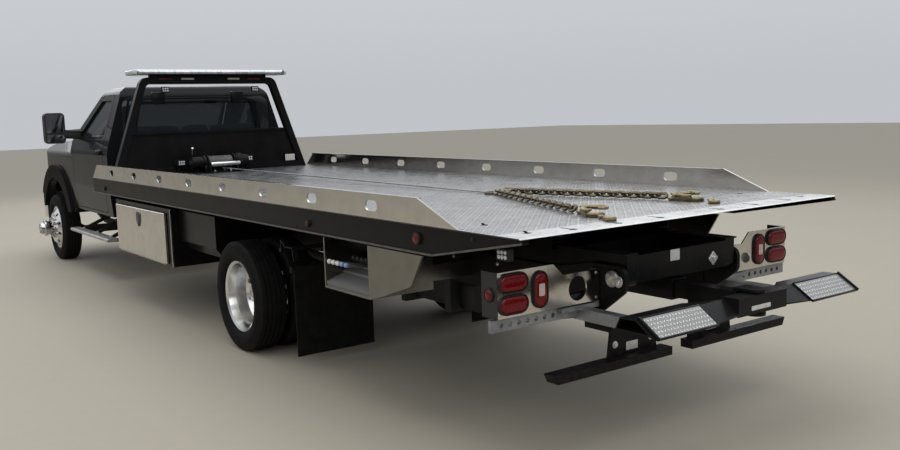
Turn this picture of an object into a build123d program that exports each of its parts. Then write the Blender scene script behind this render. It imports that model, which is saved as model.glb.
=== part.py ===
from build123d import *
from math import cos, radians, sin
import os

# A flatbed rollback tow truck with a regular cab, twin rear wheels, a sliding and tilting
# steel bed, a winch and a wheel lift. Sizes are in millimetres. X is to the right, Y forward
# and Z up from the ground. Stations along the truck are measured forward from the bed's rear
# edge, and the finished truck is moved so that the origin is under its middle.

# Lengths along the truck: the bed, the cab behind its gap, the front axle and the nose
bed_length = 6706
cab_gap = 144
cab_length = 1480
cab_back_y = bed_length + cab_gap
cowl_y = cab_back_y + cab_length
rear_axle_y = 3235
front_axle_setback = 820
front_axle_y = cowl_y + front_axle_setback
front_overhang = 960
nose_y = front_axle_y + front_overhang
hood_front_y = nose_y - 190
rail_front_y = hood_front_y - 95
clearance = 6
running_fit = 0.05

# Wheels: 19.5 inch discs, single in front and twin behind
tyre_radius = 405
tyre_width = 224
rim_radius = 260.5
rim_offset = 130
rim_half_width = 86
front_track_half = 950
twin_centre = 940
hub_radius = 85
front_spindle_radius = 32
rear_spindle_radius = 40
hand_hole_count = 10
hand_hole_radius = 19
hand_hole_circle = 200
kingpin_x = 830
kingpin_radius = 18
kingpin_boss_radius = 40

# Chassis frame
rail_outer = 432
rail_bottom = 645
rail_depth = 205
rail_flange = 76
rail_wall = 8
rail_rear_y = 330
rail_top = rail_bottom + rail_depth
rail_inner = rail_outer - rail_flange

# Bed
bed_width = 2438
bed_half = bed_width / 2
deck_top = 1140
deck_plate = 6
side_beam_depth = 150
side_beam_width = 50
side_beam_wall = 8
side_beam_lip = 10
beam_taper_length = 674
beam_tail_depth = 22
cross_member_depth = 76
cross_member_width = 50
cross_member_wall = 6
cross_member_count = 14
tail_bevel = 14
# Centre x and y of each key slot's hole, and the slot's turn from straight ahead
key_slots = [(240, 68, 0), (540, 68, 0), (840, 68, 0), (1065, 130, 30), (1010, 512, 30)]
key_hole_radius = 20
key_slot_width = 15
key_slot_length = 85
sill_inner = 430
sill_outer = 470
sill_wall = 10
sill_rear_y = 620
deck_under = deck_top - deck_plate
sill_top = deck_under - cross_member_depth
side_rail_height = 133
side_rail_wall = 12
side_rail_rear = (450, 790)
side_rail_front = (bed_length - 41, bed_length - 206)
rail_hole_count = 8
rail_hole_first_y = bed_length - 693
rail_hole_pitch = 683
rail_hole_length = 125
rail_hole_height = 58

# Tilt frame between the chassis and the bed
tilt_pin_y = 180
tilt_pin_z = 843
tilt_pin_radius = 30
tilt_rail_inner = 348
tilt_rail_outer = 424
tilt_rail_bottom = rail_top + 12
tilt_rail_top = 960
tilt_rail_front_y = bed_length - 1206
guide_overhang = 22
guide_plate = 8
hinge_plate_wall = 25
tail_plate_wall = 16
hinge_plate_outer = rail_outer + hinge_plate_wall

# Tilt cylinders
cylinder_x = 240
cylinder_base_y = 2560
cylinder_base_z = 720
rod_pin_y = 3800
rod_pin_z = 905
barrel_radius = 55
rod_radius = 28
cylinder_pin_radius = 22
cylinder_eye_radius = 45
cylinder_eye_half = 22
rod_stroke = 300

# Cab
cab_half = 1016
cab_bottom = 690
cab_floor_z = 900
cab_floor_under = 870
roof_z = 2078
belt_z = 1490
windscreen_top_y = cowl_y - 880
windscreen_top_z = 2030
cab_wall = 65
door_rear_y = cab_back_y + 160
door_front_y = cowl_y - 90
door_bottom = 730
door_hinge_x = cab_half + 6
door_hinge_y = door_front_y - 1.5
hood_half = 770
hood_hinge_y = cowl_y + 10
hood_hinge_z = 1512
hood_wall = 35
arch_inner_radius = 620
arch_outer_radius = 780
flare_width = 34

# Cab guard and light bar
guard_y = bed_length - 271
guard_depth = 75
guard_base_half = 1075
guard_top_half = 735
guard_top = 2135
guard_tube = 68
guard_window_bottom = 1578
guard_plate = 6
light_bar_half = 830
light_bar_depth = 290
light_bar_height = 55
light_bar_foot = 22
winch_y = guard_y - 205
winch_x = -40

# Sides under the bed
toolbox_front_y = cab_back_y - 790
toolbox_rear_y = toolbox_front_y - 1537
toolbox_inner = 620
toolbox_outer = 1180
toolbox_bottom = 465
toolbox_top = 955
toolbox_wall = 25
toolbox_door_wall = 20
toolbox_door_y = (toolbox_rear_y + 111, toolbox_front_y - 71)
toolbox_door_z = (toolbox_bottom + 17, toolbox_top - 40)
toolbox_hinge_x = toolbox_outer + 16
toolbox_hinge_z = toolbox_door_z[0] - 4
side_tank_y = (toolbox_rear_y - 803, toolbox_rear_y - 23)
side_tank_inner = 700
side_tank_outer = toolbox_outer - 60
side_tank_z = (615, 955)
control_outer = toolbox_outer + 10
control_inner = 760
control_y = (1324, 1845)
control_z = (670, 975)
control_wall = 12
control_tail_y = 800
flap_y = 2540
flap_wall = 10
flap_x = (445, 1050)
flap_z = (70, 690)

# Tail
tail_panel_y = 285
tail_panel_inner = 462
tail_panel_outer = 1130
tail_panel_z = (722, 944)
tail_panel_low_top = 882
tail_panel_step_x = (710, 776)
tail_panel_wall = 8
tail_panel_return = 110
tail_port_x = 612
tail_port_radius = 62
lamp_proud = 16
guard_bar_y = 205
guard_bar_x = (81, 914)
guard_bar_z = (395, 440)
guard_bar_depth = 80
guard_hanger_x = (130, 490)
guard_link_z = 560

# Wheel lift
boom_pin_y = 1250
boom_z = 735
boom_pin_radius = 22
boom_half = 55
boom_wall = 8
stinger_half = 42
crossbar_y = -320
crossbar_half_length = 800
crossbar_half_height = 45
crossbar_half_depth = 45
swivel_radius = 30


def block(x, y, z):
    """A box between a low and a high value on each axis."""
    centre = [(low + high) / 2 for low, high in (x, y, z)]
    size = [high - low for low, high in (x, y, z)]
    return Pos(*centre) * Box(*size)


def across(axis, station):
    """The plane square to an axis at a station, with its outline's second axis upward."""
    if axis == "X":
        return Plane(origin=(station, 0, 0), x_dir=(0, 1, 0), z_dir=(1, 0, 0))
    if axis == "Y":
        return Plane(origin=(0, station, 0), x_dir=(1, 0, 0), z_dir=(0, -1, 0))
    return Plane(origin=(0, 0, station))


def outline(points, radius=0):
    """A flat face with the given corners, each rounded by its radius."""
    return make_face(FilletPolyline(*points, radius=radius, close=True))


def extrude_along(axis, face, low, high):
    """A flat face extruded along an axis from one station to another."""
    start = high if axis == "Y" else low
    return extrude(across(axis, start) * face, high - low)


def prism(axis, points, low, high, radius=0):
    """An outline of corner points extruded along an axis."""
    return extrude_along(axis, outline(points, radius), low, high)


def bar(start, end, radius):
    """A round bar from one point to another."""
    run = Vector(*end) - Vector(*start)
    return extrude(Plane(origin=Vector(*start), z_dir=run) * Circle(radius), run.length)


def turned(points, centre_x, centre_y, centre_z):
    """A solid turned about a line along X. Points are (along, radius)."""
    face = outline(points)
    return Pos(centre_x, centre_y, centre_z) * revolve(face, Axis.X)


def both(*solids):
    """The given solids and their mirror images on the other side of the truck."""
    return [*solids, *[mirror(solid, about=Plane.YZ) for solid in solids]]


def mirrored_outline(points):
    """A half outline of (x, z) points on the right, closed by its mirror image."""
    return points + [(-x, z) for x, z in reversed(points)]


tail_y = crossbar_y - crossbar_half_depth - 30
middle_y = (nose_y + tail_y) / 2


def write(node, *shapes):
    """Save a node's solids, moved so that the origin is under the middle of the truck."""
    solids = [Pos(0, -middle_y, 0) * solid for shape in shapes for solid in shape.solids()]
    export_step(Compound(solids), f"parts/{node}.step")


os.makedirs("parts", exist_ok=True)


# Chassis frame: two channel rails, cross members, and the plates that carry the bed's hinge

def frame_rail():
    outer = block((rail_inner, rail_outer), (rail_rear_y, rail_front_y), (rail_bottom, rail_top))
    hollow = block(
        (rail_inner - 1, rail_outer - rail_wall),
        (rail_rear_y - 1, rail_front_y + 1),
        (rail_bottom + rail_wall, rail_top - rail_wall),
    )
    return outer - hollow


def frame_cross_member(y, bottom, top, width=60):
    reach = rail_outer - rail_wall
    return block((-reach, reach), (y - width / 2, y + width / 2), (bottom, top))


def hinge_plate():
    points = [
        (tilt_pin_y - 75, tilt_pin_z - 60),
        (tilt_pin_y - 75, tilt_pin_z + 65),
        (rail_rear_y, tilt_pin_z + 65),
        (rail_rear_y + 320, rail_top),
        (rail_rear_y + 320, rail_bottom),
        (rail_rear_y - 40, rail_bottom),
    ]
    radii = [50, 50, 20, 0, 0, 20]
    plate = prism("X", points, rail_outer, hinge_plate_outer, radii)
    pin_start = (tilt_rail_inner, tilt_pin_y, tilt_pin_z)
    return plate + bar(pin_start, (hinge_plate_outer + 8, tilt_pin_y, tilt_pin_z), tilt_pin_radius)


# Station, bottom and top of each cross member
cross_members = [
    (rail_rear_y + 90, boom_z + boom_half + 22, rail_top - rail_wall),
    (boom_pin_y + 90, boom_z - 45, rail_top - rail_wall),
    (toolbox_rear_y + 177, 720, 820),
    (toolbox_front_y - 160, 720, 820),
    (cab_back_y + 450, 720, 820),
    (rail_front_y - 60, 690, 790),
]
write("frame_rails", *both(frame_rail() + hinge_plate()))


# Cross members: the second carries the lift boom's lugs and pin, and a tube carries the tilt cylinders

boom_lug_wall = 21
boom_pin_reach = boom_half + clearance + boom_lug_wall


def boom_lugs():
    points = [
        (boom_pin_y - 35, boom_z - 40),
        (boom_pin_y - 35, boom_z + 35),
        (boom_pin_y + 70, boom_z + 70),
        (boom_pin_y + 70, boom_z - 40),
    ]
    lugs = bar((-boom_pin_reach, boom_pin_y, boom_z), (boom_pin_reach, boom_pin_y, boom_z), boom_pin_radius)
    for lug_x in (-boom_pin_reach, boom_half + clearance):
        lugs += prism("X", points, lug_x, lug_x + boom_lug_wall)
    return lugs


def frame_members():
    members = [frame_cross_member(*place) for place in cross_members]
    members[1] += boom_lugs()
    ends = [(side * (rail_outer - rail_wall), cylinder_base_y, cylinder_base_z) for side in (-1, 1)]
    members.append(bar(*ends, cylinder_pin_radius))
    return members


write("frame_members", *frame_members())


# Rear axle: tapered tube with the differential's round housing and its nose, and the spindles

rear_hub_inner = 730
rear_spindle_end = 1000


def rear_axle():
    points = [
        (0, 0),
        (0, 185),
        (60, 180),
        (130, 148),
        (190, 90),
        (240, 75),
        (640, 75),
        (640, 115),
        (662, 115),
        (662, 62),
        (rear_hub_inner - 8, 55),
        (rear_hub_inner - 8, rear_spindle_radius),
        (rear_spindle_end, rear_spindle_radius),
        (rear_spindle_end, 0),
    ]
    half = turned(points, 0, rear_axle_y, tyre_radius)
    nose = bar((0, rear_axle_y, tyre_radius), (0, rear_axle_y + 330, tyre_radius + 30), 68)
    return half + mirror(half, about=Plane.YZ) + nose


write("rear_axle", rear_axle())


# Front axle: dropped I-beam with upright eyes for the kingpins

beam_z = 345
beam_height = 95
beam_width = 76
kingpin_eye_half = 40
kingpin_half = 88


def front_axle():
    reach = kingpin_x - kingpin_boss_radius + 6
    inner = reach - 90
    low = beam_z - beam_height / 2
    high = beam_z + beam_height / 2
    eye_low = tyre_radius - kingpin_eye_half
    eye_high = tyre_radius + kingpin_eye_half
    points = [
        (-reach, eye_low),
        (-inner, low),
        (inner, low),
        (reach, eye_low),
        (reach, eye_high),
        (inner, high),
        (-inner, high),
        (-reach, eye_high),
    ]
    beam = prism("Y", points, front_axle_y - beam_width / 2, front_axle_y + beam_width / 2)
    flute_low = beam_z - beam_height / 2 + 16
    flute_high = beam_z + beam_height / 2 - 16
    for start in (front_axle_y - beam_width / 2 - 1, front_axle_y + beam_width / 2 - 22):
        beam -= block((-inner + 30, inner - 30), (start, start + 23), (flute_low, flute_high))
    for side in (-1, 1):
        centre = (side * kingpin_x, front_axle_y)
        beam += bar(
            (*centre, tyre_radius - kingpin_eye_half),
            (*centre, tyre_radius + kingpin_eye_half),
            kingpin_boss_radius,
        )
        beam += bar(
            (*centre, tyre_radius - kingpin_half), (*centre, tyre_radius + kingpin_half), kingpin_radius
        )
    return beam


write("front_axle", front_axle())


# Leaf springs: a stack of curved leaves over each axle, hung from the rail on two brackets

leaf_thickness = 11
leaf_count = 5
spring_x = (rail_inner + 2, rail_outer - 6)


def leaf(centre_y, centre_z, half_length, rise):
    ends = [(centre_y - half_length, centre_z + rise), (centre_y + half_length, centre_z + rise)]
    lower = ThreePointArc(ends[0], (centre_y, centre_z), ends[1])
    upper_start = (ends[1][0], ends[1][1] + leaf_thickness)
    upper_end = (ends[0][0], ends[0][1] + leaf_thickness)
    upper = ThreePointArc(upper_start, (centre_y, centre_z + leaf_thickness), upper_end)
    face = make_face([lower, Line(ends[1], upper_start), upper, Line(upper_end, ends[0])])
    return extrude_along("X", face, *spring_x)


def spring(centre_y, seat_z, half_length):
    rise = 75
    stack = leaf(centre_y, seat_z, half_length * 0.35, rise * 0.35 ** 2)
    for step in range(1, leaf_count):
        share = 0.35 + 0.65 * step / (leaf_count - 1)
        stack += leaf(centre_y, seat_z + leaf_thickness * step, half_length * share, rise * share ** 2)
    eye_z = seat_z + leaf_thickness * leaf_count + rise
    for end in (-1, 1):
        y = centre_y + end * (half_length - 10)
        stack += block(spring_x, (y - 22, y + 22), (eye_z - leaf_thickness * 2, rail_bottom))
    return stack


rear_spring_seat = tyre_radius + 75
front_spring_seat = beam_z + beam_height / 2
write(
    "leaf_springs",
    *both(spring(rear_axle_y, rear_spring_seat, 640), spring(front_axle_y, front_spring_seat, 560)),
)


# Engine, gearbox and propeller shaft: plain blocks at their real size, seen from below

engine_y = (front_axle_y - 580, front_axle_y + 330)
gearbox_y = (engine_y[0] - 700, engine_y[0])
shaft_z = 600


def powertrain():
    engine = block((-250, 250), engine_y, (620, 1180))
    sump = prism(
        "X",
        [(engine_y[0], 620), (engine_y[0], 530), (engine_y[1] - 500, 530), (engine_y[1] - 430, 620)],
        -140,
        140,
    )
    gearbox = prism(
        "X",
        [(gearbox_y[0], 545), (gearbox_y[0], 660), (gearbox_y[1] - 120, 830),
         (gearbox_y[1], 860), (gearbox_y[1], 535)],
        -150,
        150,
    )
    rear_end = (0, rear_axle_y + 338, tyre_radius + 31)
    shaft = bar(rear_end, (0, gearbox_y[0] + 40, shaft_z), 45)
    mounts = block(
        (-rail_outer + rail_wall, rail_outer - rail_wall), (front_axle_y - 80, front_axle_y), (700, 760)
    )
    return engine + sump + gearbox + shaft + mounts


write("powertrain", powertrain())


# Fuel tank between the rails behind the rear axle, hung on two straps

def fuel_tank():
    tank_y = (1480, 2350)
    tank_z = (430, rail_bottom - 3)
    corner = 60
    points = [(-340, tank_z[0]), (340, tank_z[0]), (340, tank_z[1]), (-340, tank_z[1])]
    tank = prism("Y", points, *tank_y, corner)
    for y in (tank_y[0] + 150, tank_y[1] - 210):
        strap_low = tank_z[0] - 5
        strap = block((-rail_outer + 12, rail_outer - 12), (y, y + 60), (strap_low, rail_bottom))
        strap -= prism(
            "Y",
            [(-345, strap_low + 5), (345, strap_low + 5), (345, 700), (-345, 700)],
            y - 1,
            y + 61,
            corner,
        )
        tank += strap
    return tank


write("fuel_tank", fuel_tank())


# Exhaust: pipe from the engine, silencer, and a tail pipe that leaves ahead of the rear wheels

def exhaust():
    x = 265
    z = 540
    silencer_y = (cab_back_y - 550, cab_back_y + 250)
    start_y = front_axle_y - 900
    corner_y = side_tank_y[0] + 360
    outlet_x = side_tank_outer - 110
    route = [(x, start_y, z + 110), (x, start_y - 300, z), (x, corner_y, z), (outlet_x, corner_y, z)]
    pipe_radius = 38
    path = FilletPolyline(*route, radius=[150, 150])
    pipe = sweep(Plane(origin=path @ 0, z_dir=path % 0) * Circle(pipe_radius), path)
    silencer = extrude_along("Y", SlotOverall(300, 190), *silencer_y)
    hangers = [
        block((x, rail_outer - 10), (y - 12, y + 12), (z + 30, rail_bottom))
        for y in (corner_y + 920, silencer_y[0] + 200, silencer_y[1] - 200)
    ]
    return pipe + Pos(x - 20, 0, z) * silencer + hangers


write("exhaust", exhaust())


# Cab: an outer form from a side profile and a front profile, with the doors' walls left out

side_profile = [
    (cab_back_y, cab_bottom),
    (cab_back_y, roof_z - 120),
    (cab_back_y + 90, roof_z - 22),
    (cab_back_y + 380, roof_z),
    (windscreen_top_y, windscreen_top_z),
    (cowl_y, belt_z),
    (cowl_y, cab_floor_under),
    (door_front_y + 40, cab_bottom),
]
side_radii = [30, 90, 90, 300, 90, 20, 20, 20]
half_front_profile = [
    (cab_half - 26, cab_bottom),
    (cab_half, 1000),
    (cab_half, 1370),
    (cab_half - 34, belt_z + 10),
    (cab_half - 190, roof_z - 75),
    (cab_half - 280, roof_z - 14),
    (300, roof_z + 2),
]
front_profile = mirrored_outline(half_front_profile)
half_front_radii = [20, 200, 200, 60, 90, 120, 0]
front_radii = half_front_radii + list(reversed(half_front_radii))


def cab_form(inset=0):
    side = outline(side_profile, side_radii)
    front = outline(front_profile, front_radii)
    if inset:
        side = offset(side, -inset, kind=Kind.INTERSECTION)
        front = offset(front, -inset, kind=Kind.INTERSECTION)
    long_way = extrude_along("X", side, -cab_half - 10, cab_half + 10)
    wide_way = extrude_along("Y", front, cab_back_y - 10, cowl_y + 10)
    return long_way & wide_way


pillar_slope = (windscreen_top_y - cowl_y) / (windscreen_top_z - belt_z)
door_top = roof_z - 95
# The rear shut line is this much wider than the others, because that edge swings past the pillar
door_rear_share = 1.5


def pillar_y(z, behind):
    """The station of the windscreen pillar's line at a height, moved behind by a width."""
    return cowl_y + (z - belt_z) * pillar_slope - behind


def door_outline(gap):
    corner_z = belt_z + 60
    rear_y = door_rear_y + gap * door_rear_share
    return [
        (rear_y, door_bottom + gap),
        (rear_y, door_top - gap),
        (pillar_y(door_top, 90) - gap, door_top - gap),
        (pillar_y(corner_z, 90) - gap, corner_z),
        (door_front_y - gap, corner_z - 120),
        (door_front_y - gap, door_bottom + gap),
    ]


door_radii = [60, 50, 60, 60, 60, 60]


def window_outline():
    return [
        (door_rear_y + 75, belt_z + 25),
        (door_rear_y + 75, door_top - 60),
        (pillar_y(door_top - 60, 165), door_top - 60),
        (pillar_y(belt_z + 25, 185), belt_z + 25),
    ]


window_radii = [40, 40, 60, 30]
rear_window_half = 700
rear_window_z = (belt_z + 45, 1900)
screen_half_top = 640
screen_half_bottom = 830


def screen_opening():
    """The windscreen's trapezium, extruded square to the sloped pillar line."""
    slope = Vector(0, windscreen_top_y - cowl_y, windscreen_top_z - belt_z)
    middle = Vector(0, (cowl_y + windscreen_top_y) / 2, (belt_z + windscreen_top_z) / 2)
    plane = Plane(origin=middle, x_dir=(1, 0, 0), z_dir=slope.cross(Vector(-1, 0, 0)))
    half = slope.length / 2
    points = [
        (-screen_half_bottom, -half + 75),
        (screen_half_bottom, -half + 75),
        (screen_half_top, half - 75),
        (-screen_half_top, half - 75),
    ]
    return plane, outline(points, 60)


cab_outer = cab_form()
cab_cavity = cab_form(cab_wall) & block(
    (-cab_half, cab_half), (cab_back_y, cowl_y), (cab_floor_z, roof_z)
)


def cab_shell():
    shell = cab_outer - cab_cavity
    shell -= block((-930, 930), (cab_back_y - 5, cowl_y + 5), (cab_bottom - 5, cab_floor_under))
    for side in (-1, 1):
        near, far = sorted((side * (cab_half - 250), side * (cab_half + 20)))
        shell -= prism("X", door_outline(0), near, far, door_radii)
    rear_points = [
        (-rear_window_half, rear_window_z[0]),
        (rear_window_half, rear_window_z[0]),
        (rear_window_half - 80, rear_window_z[1]),
        (-rear_window_half + 80, rear_window_z[1]),
    ]
    shell -= prism("Y", rear_points, cab_back_y - 10, cab_back_y + cab_wall + 10, 70)
    plane, face = screen_opening()
    shell -= extrude(plane * face, 160, both=True)
    return shell


write("cab_shell", cab_shell())


# Cab glass: rear window and windscreen, each a pane seated in its opening

glass_wall = 6


def cab_glass():
    rear_points = [
        (-rear_window_half, rear_window_z[0]),
        (rear_window_half, rear_window_z[0]),
        (rear_window_half - 80, rear_window_z[1]),
        (-rear_window_half + 80, rear_window_z[1]),
    ]
    rear = prism("Y", rear_points, cab_back_y + 14, cab_back_y + 14 + glass_wall, 70)
    plane, face = screen_opening()
    screen = extrude(plane.offset(-14 - glass_wall) * face, glass_wall)
    return [rear, screen]


write("cab_glass", *cab_glass())


# Doors: the cab's own outer form between the outline's edges, with the window cut and its pane

handle_length = 165
handle_z = (belt_z - 142, belt_z - 116)
handle_proud = 30
handle_rear_y = door_rear_y + 48


def door_handle():
    """A grip bar that stands off the door's skin on a foot at each end."""
    handle_y = (handle_rear_y, handle_rear_y + handle_length)
    grip = block((cab_half + 12, cab_half + handle_proud), handle_y, handle_z)
    grip = fillet(grip.edges().filter_by(Axis.Z), 8)
    for y in (handle_y[0] + 4, handle_y[1] - 28):
        grip += block((cab_half - 15, cab_half + 16), (y, y + 24), (handle_z[0] + 3, handle_z[1] - 3))
    return grip


door_skin = 22
door_step = 26


def door():
    """A skin out to the shut line, and a frame behind it that stands back to clear the pillar."""
    reach = (cab_half - 250, cab_half + 20)
    skin = cab_outer - cab_form(door_skin)
    skin &= prism("X", door_outline(clearance), *reach, door_radii)
    frame_step = cab_form(door_skin - 2) - cab_form(cab_wall)
    frame_step &= prism("X", door_outline(clearance + door_step), *reach, door_radii)
    panel = skin + frame_step
    panel -= prism("X", window_outline(), cab_half - 300, cab_half + 30, window_radii)
    return panel + door_handle()


def door_pane():
    pane = cab_form(22) - cab_form(22 + glass_wall)
    return pane & prism("X", window_outline(), cab_half - 260, cab_half + 20, window_radii)


mirror_x = (cab_half + 109, cab_half + 329)
mirror_y = (cowl_y - 310, cowl_y - 220)
mirror_z = (belt_z - 20, belt_z + 325)
mirror_arm_radius = 14


def mirror_head():
    housing = block(mirror_x, mirror_y, mirror_z)
    housing = fillet(housing.edges().filter_by(Axis.Y), 45)
    for z in (belt_z + 45, belt_z + 110):
        foot = (cab_half - 70, pillar_y(z, 137), z)
        housing += bar(foot, (mirror_x[0] + 15, sum(mirror_y) / 2, z + 10), mirror_arm_radius)
    return housing - right_door


right_door = door()
right_pane = door_pane()
right_mirror = mirror_head()
for side_name, solid_side in (("right", 1), ("left", -1)):
    for node, solid in (
        ("door", right_door),
        ("door_glass", right_pane),
        ("door_mirror", right_mirror),
    ):
        placed = solid if solid_side > 0 else mirror(solid, about=Plane.YZ)
        write(f"{node}_{side_name}", placed)


# Seats, dash and steering wheel

seat_half = cab_half - 236
seat_front_y = cab_back_y + 790
seat_top = cab_floor_z + 250
dash_half = cab_half - 156
dash_y = cowl_y - 380
steering_x = -400
steering_y = dash_y - 120
steering_z = 1370
steering_radius = 185
steering_grip = 15


def seats():
    seat = block((-seat_half, seat_half), (cab_back_y + 270, seat_front_y), (cab_floor_z, seat_top))
    back_points = [
        (cab_back_y + 110, seat_top - 120),
        (cab_back_y + cab_wall + 10, seat_top + 490),
        (cab_back_y + 190, seat_top + 510),
        (cab_back_y + 285, seat_top),
        (cab_back_y + 285, seat_top - 120),
    ]
    return seat + prism("X", back_points, -seat_half, seat_half, 15)


def cab_interior():
    dash_front = cowl_y - cab_wall
    dash_points = [
        (dash_y + 60, 1210),
        (dash_y, 1330),
        (dash_y + 110, 1440),
        (dash_front, 1420),
        (dash_front, 1210),
    ]
    dash = prism("X", dash_points, -dash_half, dash_half, 15)
    wheel_plane = Plane(origin=(steering_x, steering_y, steering_z), x_dir=(1, 0, 0), z_dir=(0, -0.85, 0.52))
    grip = Pos(steering_radius, 0) * RegularPolygon(steering_grip, 8)
    wheel = wheel_plane * revolve(Plane.XZ * grip, Axis.Z)
    hub = extrude(wheel_plane * Circle(45), 30, both=True)
    spoke = extrude(wheel_plane * Rectangle(steering_radius * 2 - 10, 34), 8, both=True)
    column = bar((steering_x, steering_y + 5, steering_z - 3), (steering_x, dash_y + 90, 1240), 30)
    return dash + wheel + hub + spoke + column


write("seats", seats())
write("cab_interior", cab_interior())


# Front end: an outer form split into the hood, the fenders and the grille

fender_half = 1006
front_bottom = 640


def front_form(inset=0):
    side_points = [
        (cowl_y + clearance, front_bottom),
        (cowl_y + clearance, belt_z + 18),
        (cowl_y + 500, belt_z + 20),
        (hood_front_y - 260, belt_z - 60),
        (hood_front_y, belt_z - 220),
        (hood_front_y, front_bottom),
    ]
    front_points = mirrored_outline(
        [
            (fender_half - 20, front_bottom),
            (fender_half, 1000),
            (fender_half, 1330),
            (hood_half + 60, 1470),
            (300, 1525),
        ]
    )
    plan_points = [
        (-fender_half, cowl_y),
        (fender_half, cowl_y),
        (fender_half - 10, hood_front_y - 300),
        (fender_half - 150, hood_front_y + 1),
        (-fender_half + 150, hood_front_y + 1),
        (-fender_half + 10, hood_front_y - 300),
    ]
    side = outline(side_points, [10, 10, 300, 300, 90, 20])
    front = outline(front_points, [20, 100, 120, 60, 0, 0, 60, 120, 100, 20])
    plan = outline(plan_points, [0, 0, 200, 60, 60, 200])
    if inset:
        side = offset(side, -inset, kind=Kind.INTERSECTION)
        front = offset(front, -inset, kind=Kind.INTERSECTION)
        plan = offset(plan, -inset, kind=Kind.INTERSECTION)
    form = extrude_along("X", side, -fender_half - 5, fender_half + 5)
    form &= extrude_along("Y", front, cowl_y - 5, hood_front_y + 5)
    return form & extrude_along("Z", plan, front_bottom - 5, belt_z + 60)


# The lamps beside the grille, and the bumper's wrap, which the fenders leave room for

grille_half = 560
grille_z = (850, 1185)
lamp_x = (grille_half + 15, 850)
bumper_z = (480, 800)
bumper_wrap = 330


def headlamp(gap=0):
    points = [(lamp_x[0], 900), (lamp_x[1] - 20, 930), (lamp_x[1], 1150), (lamp_x[0], 1185)]
    face = outline(points, 30)
    if gap:
        face = offset(face, gap)
    return extrude_along("Y", face, hood_front_y - 68, hood_front_y + 14)


front_outer = front_form()
front_skin = front_outer - front_form(hood_wall)
hood_edge_z = 1200


def hood():
    top = block((-hood_half, hood_half), (cowl_y, hood_front_y + 5), (hood_edge_z, belt_z + 80))
    panel = front_skin & top
    panel -= block((-hood_half, hood_half), (cowl_y, cowl_y + 60), (hood_edge_z - 5, belt_z - 30))
    return panel - block(
        (-hood_half, hood_half), (hood_front_y - 90, hood_front_y + 10), (hood_edge_z - 5, hood_edge_z + 15)
    )


write("hood", hood())


def fender():
    side = front_skin & block(
        (hood_half + clearance, fender_half + 10), (cowl_y, hood_front_y + 5), (front_bottom, belt_z + 80)
    )
    inner_panel = block(
        (hood_half + clearance, hood_half + clearance + 12),
        (cowl_y + 60, hood_front_y - 80),
        (rail_top, 1400),
    )
    panel = side + (inner_panel & front_outer)
    arch = bar(
        (hood_half - 40, front_axle_y, tyre_radius),
        (fender_half + 60, front_axle_y, tyre_radius),
        arch_inner_radius,
    )
    panel -= arch
    flare = extrude_along(
        "X",
        Pos(front_axle_y, tyre_radius) * Circle(arch_outer_radius),
        fender_half - 60,
        fender_half + flare_width,
    )
    flare -= arch
    flare &= block(
        (fender_half - 60, fender_half + 60),
        (cowl_y + clearance, hood_front_y - 30),
        (front_bottom, 1300),
    )
    apron = block((rail_outer, hood_half + 14), (cowl_y + 80, cowl_y + 130), (rail_top - 90, rail_top + 60))
    panel += flare + apron
    bumper_gap = block(
        (hood_half, fender_half + 60),
        (nose_y - bumper_wrap - clearance, nose_y),
        (front_bottom - 5, bumper_z[1] + clearance),
    )
    return panel - bumper_gap - headlamp(3)


write("front_fenders", *both(fender()))


# Grille: a surround with level bars in front of a dark backing plate on the frame's end


support_y = (rail_front_y, hood_front_y - 68)


def grille():
    frame_points = [
        (-grille_half, grille_z[0]),
        (grille_half, grille_z[0]),
        (grille_half, grille_z[1]),
        (-grille_half, grille_z[1]),
    ]
    depth = (hood_front_y - 70, hood_front_y + 20)
    surround = prism("Y", frame_points, *depth, 40)
    opening = offset(outline(frame_points, 40), -38)
    surround -= extrude_along("Y", opening, hood_front_y - 45, depth[1] + 1)
    bar_count = 5
    pitch = (grille_z[1] - grille_z[0] - 76) / (bar_count + 1)
    for number in range(1, bar_count + 1):
        z = grille_z[0] + 38 + pitch * number
        surround += block(
            (-grille_half + 20, grille_half - 20), (hood_front_y - 50, depth[1] - 8), (z - 10, z + 10)
        )
    support = block((-760, 760), support_y, (front_bottom + 40, grille_z[1] + 5))
    return surround + support


write("grille", grille())


write("headlamps", *both(headlamp()))


# Front bumper: a wrapped channel with two openings for the tow eyes

tow_eye_x = 394
tow_eye_radius = 20
tow_eye_half = 42
tow_eye_wall = 25
tow_hole_y = nose_y - 58
tow_eye_z = (610, 610 + tow_eye_wall)


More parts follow.
